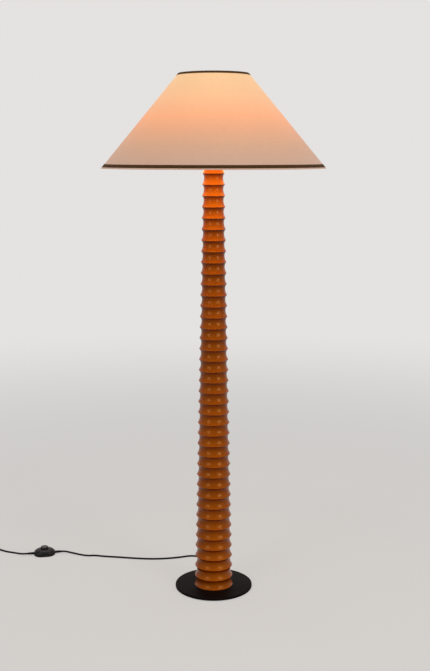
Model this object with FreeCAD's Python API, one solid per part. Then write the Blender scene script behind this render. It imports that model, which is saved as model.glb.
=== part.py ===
import FreeCAD, Part
import math
import os

# Candlestick floor lamp, in millimetres. The origin is the centre of the base's underside, on
# the floor, and +Z points up. The lamp's cord leaves the back of the column (+Y), lies on the
# floor towards -X and ends in a put-away coil and a plug.

os.makedirs("parts", exist_ok=True)
Vec = FreeCAD.Vector
UP = Vec(0, 0, 1)
ORIGIN = Vec(0, 0, 0)

# ---- clearances ----
fit_gap = 0.05          # between pieces that are screwed, glued or pressed together
running_gap = 0.3       # between pieces that move past each other

# ---- base ----
plate_radius = 118.0
plate_thickness = 7.0
plate_bevel = 2.0
pad_thickness = 2.0
pad_inset = 4.0         # the pad's edge lies this far inside the plate's edge
base_screw_count = 3
base_screw_circle = 34.0
base_screw_radius = 2.5
base_screw_length = 34.0
base_screw_head_radius = 4.8
base_screw_head_height = 2.6

# ---- turned column ----
ring_pitch = 32.3
ridge_count = 41
foot_cove_height = 29.4
foot_radius = 58.6
head_radius = 31.2
foot_cove_depth = 6.1
head_cove_depth = 5.1
valley_share = 0.6      # a cove's deepest line lies this share of its height above the lower ridge
flare_facets = 2        # straight cuts that stand for each flare of a cove
neck_shoulder = 12.0    # height of the slope from the last ridge in to the neck
neck_height = 29.4
column_bore_radius = 8.0
cord_hole_radius = 6.5
cord_exit_height = 15.0  # the cord hole's centre above the plate
outlet_seat_depth = 1.2  # the outlet's seat lies this far inside the cove's deepest line
outlet_seat_margin = 1.0

# ---- cord ----
cord_radius = 3.0
cord_sides = 6
taper_sides = 12        # corners of the tapered sleeves on the cord
lead_bend_radius = 20.0
lead_offset = 3.5       # the lead lies this far off the bore's centre above its bend

# ---- cord outlet in the column's foot ----
outlet_flange_radius = 9.0
outlet_flange_thickness = 2.5
outlet_plug_length = 12.0
outlet_sleeve_length = 28.0
outlet_sleeve_root_radius = 6.0
outlet_sleeve_tip_radius = 4.0

# ---- fittings on top of the column ----
nipple_radius = 5.0
nipple_bore_radius = 3.8
nipple_drop = 6.0       # how far the nipple reaches into the column
fixing_plate_radius = 19.0
fixing_plate_thickness = 2.5
fixing_screw_count = 3
fixing_screw_circle = 13.0
fixing_screw_radius = 1.75
fixing_screw_length = 18.0
fixing_screw_head_radius = 3.2
fixing_screw_head_height = 1.5
lock_nut_across_flats = 14.0
lock_nut_thickness = 3.0
cap_radius = 22.4
cap_wall = 1.3
cap_height = 8.5
neck_sleeve_radius = 7.5
neck_sleeve_length = 14.0

# ---- lampholder ----
holder_wall = 1.8
holder_radius = 19.2
holder_cap_neck_radius = 8.5
holder_cap_neck_height = 7.0
holder_cap_height = 22.0
holder_shell_height = 36.0
holder_mouth_radius = 14.8
holder_lip_thickness = 2.0
insert_height = 10.0
screw_shell_wall = 0.6
screw_shell_height = 22.0
contact_radius = 5.0
contact_thickness = 1.7
seat_ring_height = 14.0  # the seat ring's underside above the holder cap's rim
seat_ring_thickness = 3.0
shade_nut_thickness = 5.0
nut_radius = 28.0

# ---- bulb ----
bulb_cap_radius = 13.2
bulb_cap_length = 22.0
bulb_insulator_height = 4.2
bulb_contact_radius = 4.5
bulb_contact_height = 1.2
bulb_globe_radius = 30.0
bulb_length = 106.0
bulb_neck_radius = 14.6
bulb_neck_height = 35.0
globe_facets = 5
bulb_glass_socket = 1.0  # the glass is this much narrower than its metal cap where it sits inside

# ---- shade ----
shade_top_radius = 100.6
shade_bottom_radius = 319.0
shade_height = 261.0
cover_thickness = 1.6
top_wire_radius = 1.75
bottom_wire_radius = 2.5
wire_sides = 6
trim_thickness = 0.6
top_trim_height = 5.0
bottom_trim_height = 6.0
bottom_edge_shown = 2.6  # height of the pale rolled edge under the bottom trim
hub_overhang = 5.0      # the hub's edge beyond the nut that holds it
hub_thickness = 1.5
arm_count = 3
arm_radius = 1.75
arm_start_gap = 0.8     # the arms start this far outside the nut
arm_bend_offset = 4.0   # the corner of their bend beyond the hub's edge
arm_bend_radius = 12.0
spider_drop = 110.0     # from the hub's middle up to the top wire's centre

# ---- foot switch ----
switch_centre = Vec(-566, 256, 0)
switch_turn = 10.6      # degrees about the vertical
switch_length = 70.0
switch_width = 52.0
switch_height = 22.0
switch_base_height = 6.0
switch_wall = 2.0
switch_dome_height = 9.0
switch_cord_height = 7.0
relief_root_radius = 4.6
relief_tip_radius = 3.7
relief_length = 20.0
relief_flange_radius = 4.4
relief_flange_length = 2.0
button_radius = 12.4
button_rise = 6.6
button_dome = 1.6
button_wall = 2.0
button_flange_width = 1.6
button_flange_thickness = 1.5
block_length = 26.0
block_width = 20.0
block_height = 8.0
spring_radius = 5.0
spring_wire_radius = 0.5
spring_turns = 3
spring_wire_sides = 4
switch_screw_along = 20.0  # the two screws lie on a diagonal, this far along and across the body
switch_screw_across = 15.0
switch_screw_radius = 1.4
switch_screw_head_radius = 2.6
switch_screw_head_height = 1.0
switch_screw_length = 13.0
switch_boss_radius = 3.4

# ---- put-away coil ----
coil_centre = Vec(-764, 250, 0)
coil_outer_radius = 40.2
coil_pitch = 6.8        # from turn to turn, and from layer to layer
coil_turns = 4.25
coil_start_angle = 90.0
tie_thickness = 1.0
tie_width = 12.0
tie_gap = 0.2
tie_angle = 300.0

# ---- plug ----
plug_thickness = 13.7
plug_width = 35.3
plug_rear_share = 0.68   # the rear end's width and thickness as a share of the front's
plug_front_depth = 12.0
plug_rear_depth = 24.0
plug_corner = 3.0
plug_relief_length = 25.0
pin_radius = 2.0
pin_length = 19.0
pin_tip = 1.0
pin_spacing = 18.6


# ---- drawing helpers ----
class Outline:
    """A closed half-section in the r-z plane, drawn point by point and turned about Z."""

    def __init__(self, r, z):
        self.start = Vec(r, 0, z)
        self.here = self.start
        self.edges = []

    def line(self, r, z):
        end = Vec(r, 0, z)
        self.edges.append(Part.LineSegment(self.here, end).toShape())
        self.here = end
        return self

    def arc(self, mid_r, mid_z, r, z):
        end = Vec(r, 0, z)
        self.edges.append(Part.Arc(self.here, Vec(mid_r, 0, mid_z), end).toShape())
        self.here = end
        return self

    def turned(self):
        self.line(self.start.x, self.start.z)
        return Part.Face(Part.Wire(self.edges)).revolve(ORIGIN, UP, 360)


def turned_polygon(points):
    outline = Outline(*points[0])
    for r, z in points[1:]:
        outline.line(r, z)
    return outline.turned()


def ring(outer, inner, bottom, top):
    return turned_polygon([(inner, bottom), (outer, bottom), (outer, top), (inner, top)])


def around(shape, count, first_angle=0.0):
    """Copies of a shape at even angles about Z."""
    copies = []
    for index in range(count):
        copy = shape.copy()
        copy.rotate(ORIGIN, UP, first_angle + 360.0 * index / count)
        copies.append(copy)
    return copies


def pointed(shape, origin, direction):
    """Moves a shape built up along +Z from the origin so that it points along a direction."""
    placed = shape.copy()
    placed.Placement = FreeCAD.Placement(origin, FreeCAD.Rotation(UP, direction))
    return placed


def section_wire(centre, direction, radius, sides):
    """A regular polygon square to a direction, with its corners on the given radius."""
    upright = abs(direction.z) > 0.9
    side = direction.cross(Vec(1, 0, 0) if upright else UP)
    side.normalize()
    rise = side.cross(direction)
    rise.normalize()
    corners = []
    for index in range(sides):
        angle = 2 * math.pi * (index + 0.5) / sides
        corners.append(centre + side * (radius * math.cos(angle)) + rise * (radius * math.sin(angle)))
    corners.append(corners[0])
    return Part.makePolygon(corners)


def swept(path, start, direction, radius, sides):
    """A tube of polygon section along a path, as a solid whose volume is checked."""
    section = section_wire(start, direction, radius, sides)
    tube = path.makePipeShell([section], True, False)
    section_area = 0.5 * sides * radius**2 * math.sin(2 * math.pi / sides)
    share = tube.Volume / (section_area * path.Length)
    return tube, share


def bent_path(points, tightest=None):
    """Straight runs joined by tangent arcs, each as large as its two runs allow."""
    edges = []
    radii = []
    here = points[0]
    for before, corner, after in zip(points, points[1:], points[2:]):
        arrive = corner - before
        leave = after - corner
        shorter = min(arrive.Length, leave.Length)
        half_turn = arrive.getAngle(leave) / 2
        radius = 0.45 * shorter / math.tan(half_turn)
        if tightest:
            radius = min(radius, tightest)
        setback = radius * math.tan(half_turn)
        arrive.normalize()
        leave.normalize()
        first = corner - arrive * setback
        last = corner + leave * setback
        inward = leave - arrive
        inward.normalize()
        middle = corner + inward * (radius / math.cos(half_turn) - radius)
        edges.append(Part.LineSegment(here, first).toShape())
        edges.append(Part.Arc(first, middle, last).toShape())
        radii.append(radius)
        here = last
    edges.append(Part.LineSegment(here, points[-1]).toShape())
    return Part.Wire(edges), radii


def tangent_arcs(start, start_direction, end, end_direction):
    """Two arcs that join smoothly and leave and arrive along the given directions."""
    gap = end - start
    both = start_direction + end_direction
    twist = 2 * (1 - start_direction.dot(end_direction))
    along = gap.dot(both)
    reach = (math.sqrt(along**2 + twist * gap.dot(gap)) - along) / twist
    first_corner = start + start_direction * reach
    last_corner = end - end_direction * reach
    join = (first_corner + last_corner) * 0.5
    arcs = []
    for begin, corner, finish in ((start, first_corner, join), (join, last_corner, end)):
        chord_middle = (begin + finish) * 0.5
        half_chord = (finish - begin).Length / 2
        middle = corner + (chord_middle - corner) * (1 / (1 + half_chord / reach))
        arcs.append(Part.Arc(begin, middle, finish).toShape())
    return arcs


def curve_path(point_at, first, last, spans, lead_in=0.0, lead_out=0.0):
    """Tangent arcs along a formula, with an optional straight end piece at each side."""
    step = (last - first) / spans
    small = step * 1e-4

    def direction_at(value):
        ahead = point_at(min(value + small, last))
        behind = point_at(max(value - small, first))
        direction = ahead - behind
        direction.normalize()
        return direction

    edges = []
    start = point_at(first)
    start_direction = direction_at(first)
    path_start = start - start_direction * lead_in
    if lead_in:
        edges.append(Part.LineSegment(path_start, start).toShape())
    for index in range(spans):
        end = point_at(first + step * (index + 1))
        end_direction = direction_at(first + step * (index + 1))
        edges += tangent_arcs(start, start_direction, end, end_direction)
        start = end
        start_direction = end_direction
    path_end = start + start_direction * lead_out
    if lead_out:
        edges.append(Part.LineSegment(start, path_end).toShape())
    return Part.Wire(edges), path_start, direction_at(first), path_end, direction_at(last)


def screw(radius, length, head_radius, head_height):
    """A screw that points up from its head, whose face is at the origin's height."""
    shank = Part.makeCylinder(radius, length - head_height, Vec(0, 0, head_height))
    return Part.makeCylinder(head_radius, head_height).fuse(shank)


def tapered(start, end, start_radius, end_radius):
    """A many-cornered sleeve, not yet bored, that narrows or widens from one end to the other."""
    direction = end - start
    direction.normalize()
    sections = [
        section_wire(start, direction, start_radius, taper_sides),
        section_wire(end, direction, end_radius, taper_sides),
    ]
    return Part.makeLoft(sections, True, True)


def save(name, shape):
    shape.exportStep("parts/" + name + ".step")
    print(f"{name}: volume {shape.Volume:.0f}, solids {len(shape.Solids)}, valid {shape.isValid()}")


# ---- heights that follow from the sizes above ----
plate_bottom = pad_thickness
plate_top = plate_bottom + plate_thickness
last_ridge_height = plate_top + foot_cove_height + (ridge_count - 1) * ring_pitch
neck_bottom = last_ridge_height + neck_shoulder
column_top = neck_bottom + neck_height
cap_top = column_top + cap_height
holder_bottom = cap_top + neck_sleeve_length
holder_cap_top = holder_bottom + holder_cap_height
holder_top = holder_cap_top + holder_shell_height
seat_ring_bottom = holder_cap_top + seat_ring_height
hub_bottom = seat_ring_bottom + seat_ring_thickness + running_gap
shade_nut_bottom = hub_bottom + hub_thickness + running_gap
top_wire_height = hub_bottom + hub_thickness / 2 + spider_drop
shade_top = top_wire_height + top_wire_radius + cover_thickness + fit_gap
shade_bottom = shade_top - shade_height
cord_exit = plate_top + cord_exit_height


# ---- base ----
def base_screws(extra=0.0):
    """The screws up through the plate into the column, or, made larger, the room they need."""
    one = screw(
        base_screw_radius + extra,
        base_screw_length + extra,
        base_screw_head_radius + extra,
        base_screw_head_height + extra,
    )
    one.translate(Vec(base_screw_circle, 0, plate_bottom))
    return around(one, base_screw_count, -90)


def make_base():
    plate = turned_polygon(
        [
            (0, plate_bottom),
            (plate_radius, plate_bottom),
            (plate_radius, plate_top - plate_bevel),
            (plate_radius - plate_bevel, plate_top),
            (0, plate_top),
        ]
    )
    for room in base_screws(fit_gap):
        plate = plate.cut(room)
    pad = Part.makeCylinder(plate_radius - pad_inset, pad_thickness)
    save("base_plate", plate)
    save("base_pad", pad)
    save("base_screws", Part.makeCompound(base_screws()))


# ---- turned column ----
def share_up(height):
    """0 at the column's foot, 1 at its last ridge."""
    return (height - plate_top) / (last_ridge_height - plate_top)


def ridge_radius(height):
    return foot_radius + (head_radius - foot_radius) * share_up(height)


def valley_radius(height):
    depth = foot_cove_depth + (head_cove_depth - foot_cove_depth) * share_up(height)
    return ridge_radius(height) - depth


def draw_cove(outline, bottom, top):
    """One hollow of the turning: a long flare up from the lower ridge, then a short one out.

    Each flare follows an arc that runs upright at the cove's deepest line.
    """
    valley_z = bottom + valley_share * (top - bottom)
    valley_r = valley_radius(valley_z)
    steps = [step / flare_facets for step in range(flare_facets + 1)]
    for ridge_z, shares in ((bottom, steps[-2::-1]), (top, steps[1:])):
        width = ridge_radius(ridge_z) - valley_r
        height = ridge_z - valley_z
        radius = (width**2 + height**2) / (2 * width)
        whole_angle = math.asin(height / radius)
        for share in shares:
            angle = whole_angle * share
            outline.line(valley_r + radius * (1 - math.cos(angle)), valley_z + radius * math.sin(angle))


outlet_seat = valley_radius(plate_top + valley_share * foot_cove_height) - outlet_seat_depth
outlet_tip = outlet_seat + outlet_flange_thickness + outlet_sleeve_length


def make_column():
    outline = Outline(column_bore_radius, plate_top)
    outline.line(ridge_radius(plate_top), plate_top)
    below = plate_top
    for index in range(ridge_count):
        above = plate_top + foot_cove_height + index * ring_pitch
        draw_cove(outline, below, above)
        below = above
    neck_radius = valley_radius(last_ridge_height)
    outline.line(neck_radius, neck_bottom)
    outline.line(neck_radius, column_top)
    outline.line(column_bore_radius, column_top)
    column = outline.turned()

    cord_hole = Part.makeCylinder(cord_hole_radius, foot_radius, Vec(0, 0, cord_exit), Vec(0, 1, 0))
    seat_cut = Part.makeCylinder(
        outlet_flange_radius + outlet_seat_margin, foot_radius, Vec(0, outlet_seat, cord_exit), Vec(0, 1, 0)
    )
    column = column.cut(cord_hole.fuse(seat_cut))
    for room in base_screws(fit_gap) + fixing_screws(fit_gap):
        column = column.cut(room)
    save("column", column)


# ---- cord outlet and the lead inside the column ----
def make_outlet():
    """A grommet pressed into the cord hole, with a sleeve that tapers along the cord."""
    start = Vec(0, outlet_seat - outlet_plug_length, cord_exit)
    flange_start = Vec(0, outlet_seat, cord_exit)
    sleeve_start = flange_start + Vec(0, outlet_flange_thickness, 0)
    end = Vec(0, outlet_tip, cord_exit)
    out = Vec(0, 1, 0)
    grommet = Part.makeCylinder(cord_hole_radius - fit_gap, outlet_plug_length, start, out)
    grommet = grommet.fuse(Part.makeCylinder(outlet_flange_radius, outlet_flange_thickness, flange_start, out))
    sleeve = tapered(sleeve_start, end, outlet_sleeve_root_radius, outlet_sleeve_tip_radius)
    grommet = grommet.fuse(sleeve)
    bore = Part.makeCylinder(cord_radius + fit_gap, foot_radius, start, out)
    save("cord_outlet", grommet.cut(bore))


def make_lead():
    lead_top = holder_bottom + holder_cap_neck_height
    straight = column_bore_radius * 6
    points = [
        Vec(0, 0, lead_top),
        Vec(0, 0, cord_exit + 3 * straight),
        Vec(0, -lead_offset, cord_exit + straight),
        Vec(0, -lead_offset, cord_exit),
        Vec(0, outlet_tip, cord_exit),
    ]
    path, radii = bent_path(points, lead_bend_radius)
    lead, share = swept(path, points[0], Vec(0, 0, -1), cord_radius, cord_sides)
    print(f"lead: length {path.Length:.0f}, tightest bend {min(radii):.1f}, volume share {share:.4f}")
    save("column_lead", lead)


# ---- fittings on top of the column ----
def fixing_screws(extra=0.0):
    """The screws down through the fixing plate into the column, or the room they need."""
    one = screw(
        fixing_screw_radius + extra,
        fixing_screw_length + extra,
        fixing_screw_head_radius + extra,
        fixing_screw_head_height + extra,
    )
    one.rotate(ORIGIN, Vec(1, 0, 0), 180)
    one.translate(Vec(fixing_screw_circle, 0, column_top + fixing_plate_thickness))
    return around(one, fixing_screw_count)


def make_head_fittings():
    plate_end = column_top + fixing_plate_thickness
    thread = nipple_radius + fit_gap
    fixing_plate = ring(fixing_plate_radius, thread, column_top, plate_end)
    for room in fixing_screws(fit_gap):
        fixing_plate = fixing_plate.cut(room)
    save("fixing_plate", fixing_plate)
    save("fixing_screws", Part.makeCompound(fixing_screws()))

    nipple_top = holder_bottom + holder_cap_neck_height
    save("nipple", ring(nipple_radius, nipple_bore_radius, column_top - nipple_drop, nipple_top))

    corner = lock_nut_across_flats / 2 / math.cos(math.pi / 6)
    hexagon = section_wire(ORIGIN, Vec(0, 1, 0), corner, 6)
    hexagon.rotate(ORIGIN, Vec(1, 0, 0), 90)
    nut = Part.Face(hexagon).extrude(Vec(0, 0, lock_nut_thickness))
    nut.translate(Vec(0, 0, plate_end - nut.BoundBox.ZMin + fit_gap))
    nut = nut.cut(Part.makeCylinder(thread, cap_height, Vec(0, 0, column_top)))
    save("lock_nut", nut)

    slope = cap_height / 2
    cap = turned_polygon(
        [
            (cap_radius - cap_wall, column_top),
            (cap_radius, column_top),
            (cap_radius, cap_top - slope),
            (cap_radius - slope, cap_top),
            (thread, cap_top),
            (thread, cap_top - cap_wall),
            (cap_radius - slope - cap_wall, cap_top - cap_wall),
            (cap_radius - slope - cap_wall, cap_top - slope - cap_wall),
            (cap_radius - cap_wall, cap_top - slope - cap_wall),
        ]
    )
    save("column_cap", cap)
    save("neck_sleeve", ring(neck_sleeve_radius, thread, cap_top + fit_gap, holder_bottom - fit_gap))


# ---- lampholder ----
def make_lampholder():
    thread = nipple_radius + fit_gap
    neck_top = holder_bottom + holder_cap_neck_height
    inner_radius = holder_radius - holder_wall
    shoulder = neck_top + holder_radius - holder_cap_neck_radius
    cap = turned_polygon(
        [
            (thread, holder_bottom),
            (holder_cap_neck_radius, holder_bottom),
            (holder_cap_neck_radius, neck_top - holder_wall),
            (holder_radius, shoulder - holder_wall),
            (holder_radius, holder_cap_top),
            (inner_radius, holder_cap_top),
            (inner_radius, shoulder),
            (holder_cap_neck_radius, shoulder),
            (holder_cap_neck_radius, neck_top),
            (thread, neck_top),
        ]
    )
    save("holder_cap", cap)

    lip_bottom = holder_top - holder_lip_thickness
    shell = turned_polygon(
        [
            (inner_radius, holder_cap_top + fit_gap),
            (holder_radius, holder_cap_top + fit_gap),
            (holder_radius, holder_top),
            (holder_mouth_radius, holder_top),
            (holder_mouth_radius, lip_bottom),
            (inner_radius, lip_bottom),
        ]
    )
    save("holder_shell", shell)

    insert_top = holder_cap_top + insert_height
    insert = ring(inner_radius - fit_gap, contact_radius / 2, holder_cap_top, insert_top)
    save("holder_insert", insert)
    shell_inner = bulb_cap_radius + running_gap
    metal_shell = ring(
        shell_inner + screw_shell_wall,
        shell_inner,
        insert_top + fit_gap,
        insert_top + fit_gap + screw_shell_height,
    )
    save("holder_screw_shell", metal_shell)
    contact = Part.makeCylinder(contact_radius, contact_thickness, Vec(0, 0, insert_top + fit_gap))
    save("holder_contact", contact)

    grip = holder_radius + fit_gap
    seat = ring(nut_radius, grip, seat_ring_bottom, seat_ring_bottom + seat_ring_thickness)
    save("shade_seat_ring", seat)
    nut_top = shade_nut_bottom + shade_nut_thickness
    nut_step = nut_radius - (nut_radius - grip) / 2
    nut = turned_polygon(
        [
            (grip, shade_nut_bottom),
            (nut_radius, shade_nut_bottom),
            (nut_radius, nut_top - shade_nut_thickness / 3),
            (nut_step, nut_top),
            (grip, nut_top),
        ]
    )
    save("shade_nut", nut)


# ---- bulb ----
def make_bulb():
    bottom = holder_cap_top + insert_height + fit_gap + contact_thickness + running_gap
    contact_top = bottom + bulb_contact_height
    insulator_top = contact_top + bulb_insulator_height
    cap_end = insulator_top + bulb_cap_length
    glass_radius = bulb_cap_radius - bulb_glass_socket
    globe_height = bottom + bulb_length - bulb_globe_radius
    neck_end = bottom + bulb_neck_height

    save("bulb_contact", Part.makeCylinder(bulb_contact_radius, bulb_contact_height, Vec(0, 0, bottom)))
    insulator = turned_polygon(
        [
            (0, contact_top),
            (bulb_contact_radius, contact_top),
            (bulb_cap_radius, insulator_top),
            (0, insulator_top),
        ]
    )
    save("bulb_insulator", insulator)
    save("bulb_cap", ring(bulb_cap_radius, glass_radius, insulator_top, cap_end))

    # The flank is the straight line from the neck that touches the globe's circle.
    drop = globe_height - neck_end
    distance = math.hypot(bulb_neck_radius, drop)
    lean = math.atan2(bulb_neck_radius, drop)
    touch_angle = math.acos(bulb_globe_radius / distance) + lean
    glass = Outline(0, insulator_top)
    glass.line(glass_radius - fit_gap, insulator_top)
    glass.line(glass_radius - fit_gap, cap_end)
    glass.line(bulb_neck_radius, neck_end)
    for step in range(globe_facets + 1):
        angle = touch_angle + (math.pi - touch_angle) * step / globe_facets
        glass.line(bulb_globe_radius * math.sin(angle), globe_height - bulb_globe_radius * math.cos(angle))
    save("bulb_glass", glass.turned())


# ---- shade ----
flare = (shade_bottom_radius - shade_top_radius) / shade_height
slant = math.hypot(1, flare)         # length along the wall for each unit of height


def outer_radius(height):
    return shade_top_radius + flare * (shade_top - height)


def wall_radius(height, inside):
    """Radius of a face that lies parallel to the shade's outside, this far inside it."""
    return outer_radius(height) - inside * slant


def wire_places():
    """Centres (r, z) of the top and bottom wires, each resting in its corner of the cover."""
    places = []
    for wire_radius, height in (
        (top_wire_radius, top_wire_height),
        (bottom_wire_radius, shade_bottom + cover_thickness + fit_gap + bottom_wire_radius),
    ):
        places.append((wall_radius(height, cover_thickness + fit_gap + wire_radius), height))
    return places


def wire_ring(place, wire_radius):
    """A closed hoop of wire with a faceted section."""
    points = []
    for index in range(wire_sides):
        angle = 2 * math.pi * (index + 0.5) / wire_sides
        points.append((place[0] + wire_radius * math.cos(angle), place[1] + wire_radius * math.sin(angle)))
    return turned_polygon(points)


def trim_band(bottom, height):
    """A ribbon glued round the outside of the cover."""
    top = bottom + height
    outside = -fit_gap - trim_thickness
    return turned_polygon(
        [
            (wall_radius(bottom, -fit_gap), bottom),
            (wall_radius(bottom, outside), bottom),
            (wall_radius(top, outside), top),
            (wall_radius(top, -fit_gap), top),
        ]
    )


def make_shade():
    top_wire, bottom_wire = wire_places()
    top_fold_r = top_wire[0] - top_wire_radius
    bottom_fold_r = bottom_wire[0] - bottom_wire_radius
    under_top = shade_top - cover_thickness
    over_bottom = shade_bottom + cover_thickness
    cover = turned_polygon(
        [
            (top_fold_r, under_top),
            (top_fold_r, shade_top),
            (outer_radius(shade_top), shade_top),
            (outer_radius(shade_bottom), shade_bottom),
            (bottom_fold_r, shade_bottom),
            (bottom_fold_r, over_bottom),
            (wall_radius(over_bottom, cover_thickness), over_bottom),
            (wall_radius(under_top, cover_thickness), under_top),
        ]
    )
    save("shade_cover", cover)
    save("shade_top_wire", wire_ring(top_wire, top_wire_radius))
    save("shade_bottom_wire", wire_ring(bottom_wire, bottom_wire_radius))
    save("shade_top_trim", trim_band(shade_top - top_trim_height, top_trim_height))
    save("shade_bottom_trim", trim_band(shade_bottom + bottom_edge_shown, bottom_trim_height))


def make_spider():
    """The hub that sits on the lampholder, with arms that rise to the top wire."""
    top_wire = wire_places()[0]
    middle = hub_bottom + hub_thickness / 2
    hub_radius = nut_radius + hub_overhang
    hub = ring(hub_radius, holder_radius + running_gap, hub_bottom, hub_bottom + hub_thickness)
    start = Vec(nut_radius + arm_start_gap, 0, middle)
    bend = Vec(hub_radius + arm_bend_offset, 0, middle)
    wire_centre = Vec(top_wire[0], 0, top_wire[1])
    towards = wire_centre - bend
    towards.normalize()
    end = wire_centre - towards * (top_wire_radius + fit_gap)
    half_turn = Vec(1, 0, 0).getAngle(towards) / 2
    setback = arm_bend_radius * math.tan(half_turn)
    inward = towards - Vec(1, 0, 0)
    inward.normalize()
    first = bend - Vec(setback, 0, 0)
    last = bend + towards * setback
    crown = bend + inward * (arm_bend_radius / math.cos(half_turn) - arm_bend_radius)
    path = Part.Wire(
        [
            Part.LineSegment(start, first).toShape(),
            Part.Arc(first, crown, last).toShape(),
            Part.LineSegment(last, end).toShape(),
        ]
    )
    arm, share = swept(path, start, Vec(1, 0, 0), arm_radius, wire_sides)
    print(f"spider arm: length {path.Length:.0f}, volume share {share:.4f}")
    spider = hub
    for copy in around(arm, arm_count, 90):
        spider = spider.fuse(copy)
    save("shade_spider", spider.removeSplitter())


# ---- foot switch ----
def stadium_wire(length, width, height):
    """Two half-round ends joined by straight sides, centred on Z."""
    half = (length - width) / 2
    radius = width / 2
    right = Part.Arc(Vec(half, -radius, height), Vec(half + radius, 0, height), Vec(half, radius, height))
    left = Part.Arc(Vec(-half, radius, height), Vec(-half - radius, 0, height), Vec(-half, -radius, height))
    front = Part.LineSegment(Vec(-half, -radius, height), Vec(half, -radius, height))
    back = Part.LineSegment(Vec(half, radius, height), Vec(-half, radius, height))
    return Part.Wire([edge.toShape() for edge in (front, right, back, left)])


def stadium(length, width, bottom, height):
    return Part.Face(stadium_wire(length, width, bottom)).extrude(Vec(0, 0, height))


def domed(inset, bottom, top):
    """The foot switch's outer form, or the room inside it when inset: upright sides, then two slopes."""
    wires = []
    for drawn_in, height in (
        (0, bottom),
        (0, top - switch_dome_height),
        (switch_dome_height * 0.4, top - switch_dome_height * 0.35),
        (switch_dome_height * 1.1, top),
    ):
        side = 2 * (inset + drawn_in)
        wires.append(stadium_wire(switch_length - side, switch_width - side, height))
    return Part.makeLoft(wires, True, True)


def place_switch(shape):
    placed = shape.copy()
    placed.Placement = FreeCAD.Placement(switch_centre, FreeCAD.Rotation(UP, switch_turn))
    return placed


def relief(direction):
    """A tapered strain relief that passes through the switch's end wall."""
    outside = switch_length / 2 + fit_gap
    wall_radius_inside = switch_width / 2 - switch_wall
    bulge = wall_radius_inside - math.sqrt(wall_radius_inside**2 - relief_flange_radius**2)
    flange_start = switch_length / 2 - switch_wall - relief_flange_length - bulge - fit_gap
    body = Part.makeCylinder(relief_flange_radius, relief_flange_length, Vec(0, 0, flange_start))
    body = body.fuse(Part.makeCylinder(relief_tip_radius, outside - flange_start, Vec(0, 0, flange_start)))
    sleeve = tapered(
        Vec(0, 0, outside), Vec(0, 0, switch_length / 2 + relief_length), relief_root_radius, relief_tip_radius
    )
    return pointed(body.fuse(sleeve), Vec(0, 0, switch_cord_height), Vec(direction, 0, 0))


def make_switch():
    inner_length = switch_length - 2 * switch_wall
    inner_width = switch_width - 2 * switch_wall
    ceiling = switch_height - switch_wall

    base = stadium(switch_length, switch_width, 0, switch_base_height)
    base = base.cut(stadium(inner_length, inner_width, switch_wall, switch_base_height))
    cover_bottom = switch_base_height + fit_gap
    cover = domed(0, cover_bottom, switch_height)
    cover = cover.cut(domed(switch_wall, 0, ceiling))
    cover = cover.cut(Part.makeCylinder(button_radius + running_gap, switch_height))

    screws = []
    for side in (-1, 1):
        place = Vec(side * switch_screw_along, side * switch_screw_across, 0)
        boss_height = ceiling + fit_gap - switch_wall
        boss = Part.makeCylinder(switch_boss_radius, boss_height, place + Vec(0, 0, switch_wall + fit_gap))
        cover = cover.fuse(boss)
        one = screw(switch_screw_radius, switch_screw_length, switch_screw_head_radius, switch_screw_head_height)
        one.translate(place)
        screws.append(one)
        room = screw(
            switch_screw_radius + fit_gap,
            switch_screw_length + fit_gap,
            switch_screw_head_radius + fit_gap,
            switch_screw_head_height + fit_gap,
        )
        room.translate(place)
        hole_start = Vec(side * (switch_length / 2 - 2 * switch_wall), 0, switch_cord_height)
        hole_length = 3 * switch_wall
        cord_hole = Part.makeCylinder(
            relief_tip_radius + fit_gap, hole_length, hole_start, Vec(side, 0, 0)
        )
        base = base.cut(room).cut(cord_hole)
        cover = cover.cut(room).cut(cord_hole)
    save("switch_base", place_switch(base))
    save("switch_cover", place_switch(cover))
    save("switch_screws", place_switch(Part.makeCompound(screws)))
    save("switch_reliefs", place_switch(Part.makeCompound([relief(-1), relief(1)])))

    block_top = switch_wall + fit_gap + block_height
    block = Part.makeBox(
        block_length,
        block_width,
        block_height,
        Vec(-block_length / 2, -block_width / 2, switch_wall + fit_gap),
    )
    save("switch_block", place_switch(block))

    flange_top = ceiling - running_gap
    flange_bottom = flange_top - button_flange_thickness
    button_top = switch_height + button_rise
    button_inside = button_radius - button_wall
    button_ceiling = button_top - button_dome - button_wall
    button = Outline(button_inside, flange_bottom)
    button.line(button_radius + button_flange_width, flange_bottom)
    button.line(button_radius + button_flange_width, flange_top)
    button.line(button_radius, flange_top)
    button.line(button_radius, button_top - button_dome)
    button.line(button_radius - button_dome, button_top)
    button.line(0, button_top)
    button.line(0, button_ceiling)
    button.line(button_inside, button_ceiling)
    save("switch_button", place_switch(button.turned()))

    spring_bottom = block_top + spring_wire_radius + fit_gap
    spring_top = button_ceiling - spring_wire_radius - fit_gap

    def on_spring(turn):
        angle = 2 * math.pi * turn
        height = spring_bottom + (spring_top - spring_bottom) * turn / spring_turns
        return Vec(spring_radius * math.cos(angle), spring_radius * math.sin(angle), height)

    path, start, direction, _, _ = curve_path(on_spring, 0, spring_turns, 4 * spring_turns)
    spring, share = swept(path, start, direction, spring_wire_radius, spring_wire_sides)
    print(f"spring: wire length {path.Length:.0f}, volume share {share:.4f}")
    save("switch_spring", place_switch(spring))


def switch_end(side):
    """The tip of a strain relief, and the direction in which the cord leaves it."""
    turn = FreeCAD.Rotation(UP, switch_turn)
    direction = turn.multVec(Vec(side, 0, 0))
    tip = switch_centre + direction * (switch_length / 2 + relief_length)
    return tip + Vec(0, 0, switch_cord_height), direction


# ---- put-away coil ----
coil_low = cord_radius + tie_thickness + tie_gap
coil_inner_radius = coil_outer_radius - coil_pitch * coil_turns / 2


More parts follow.
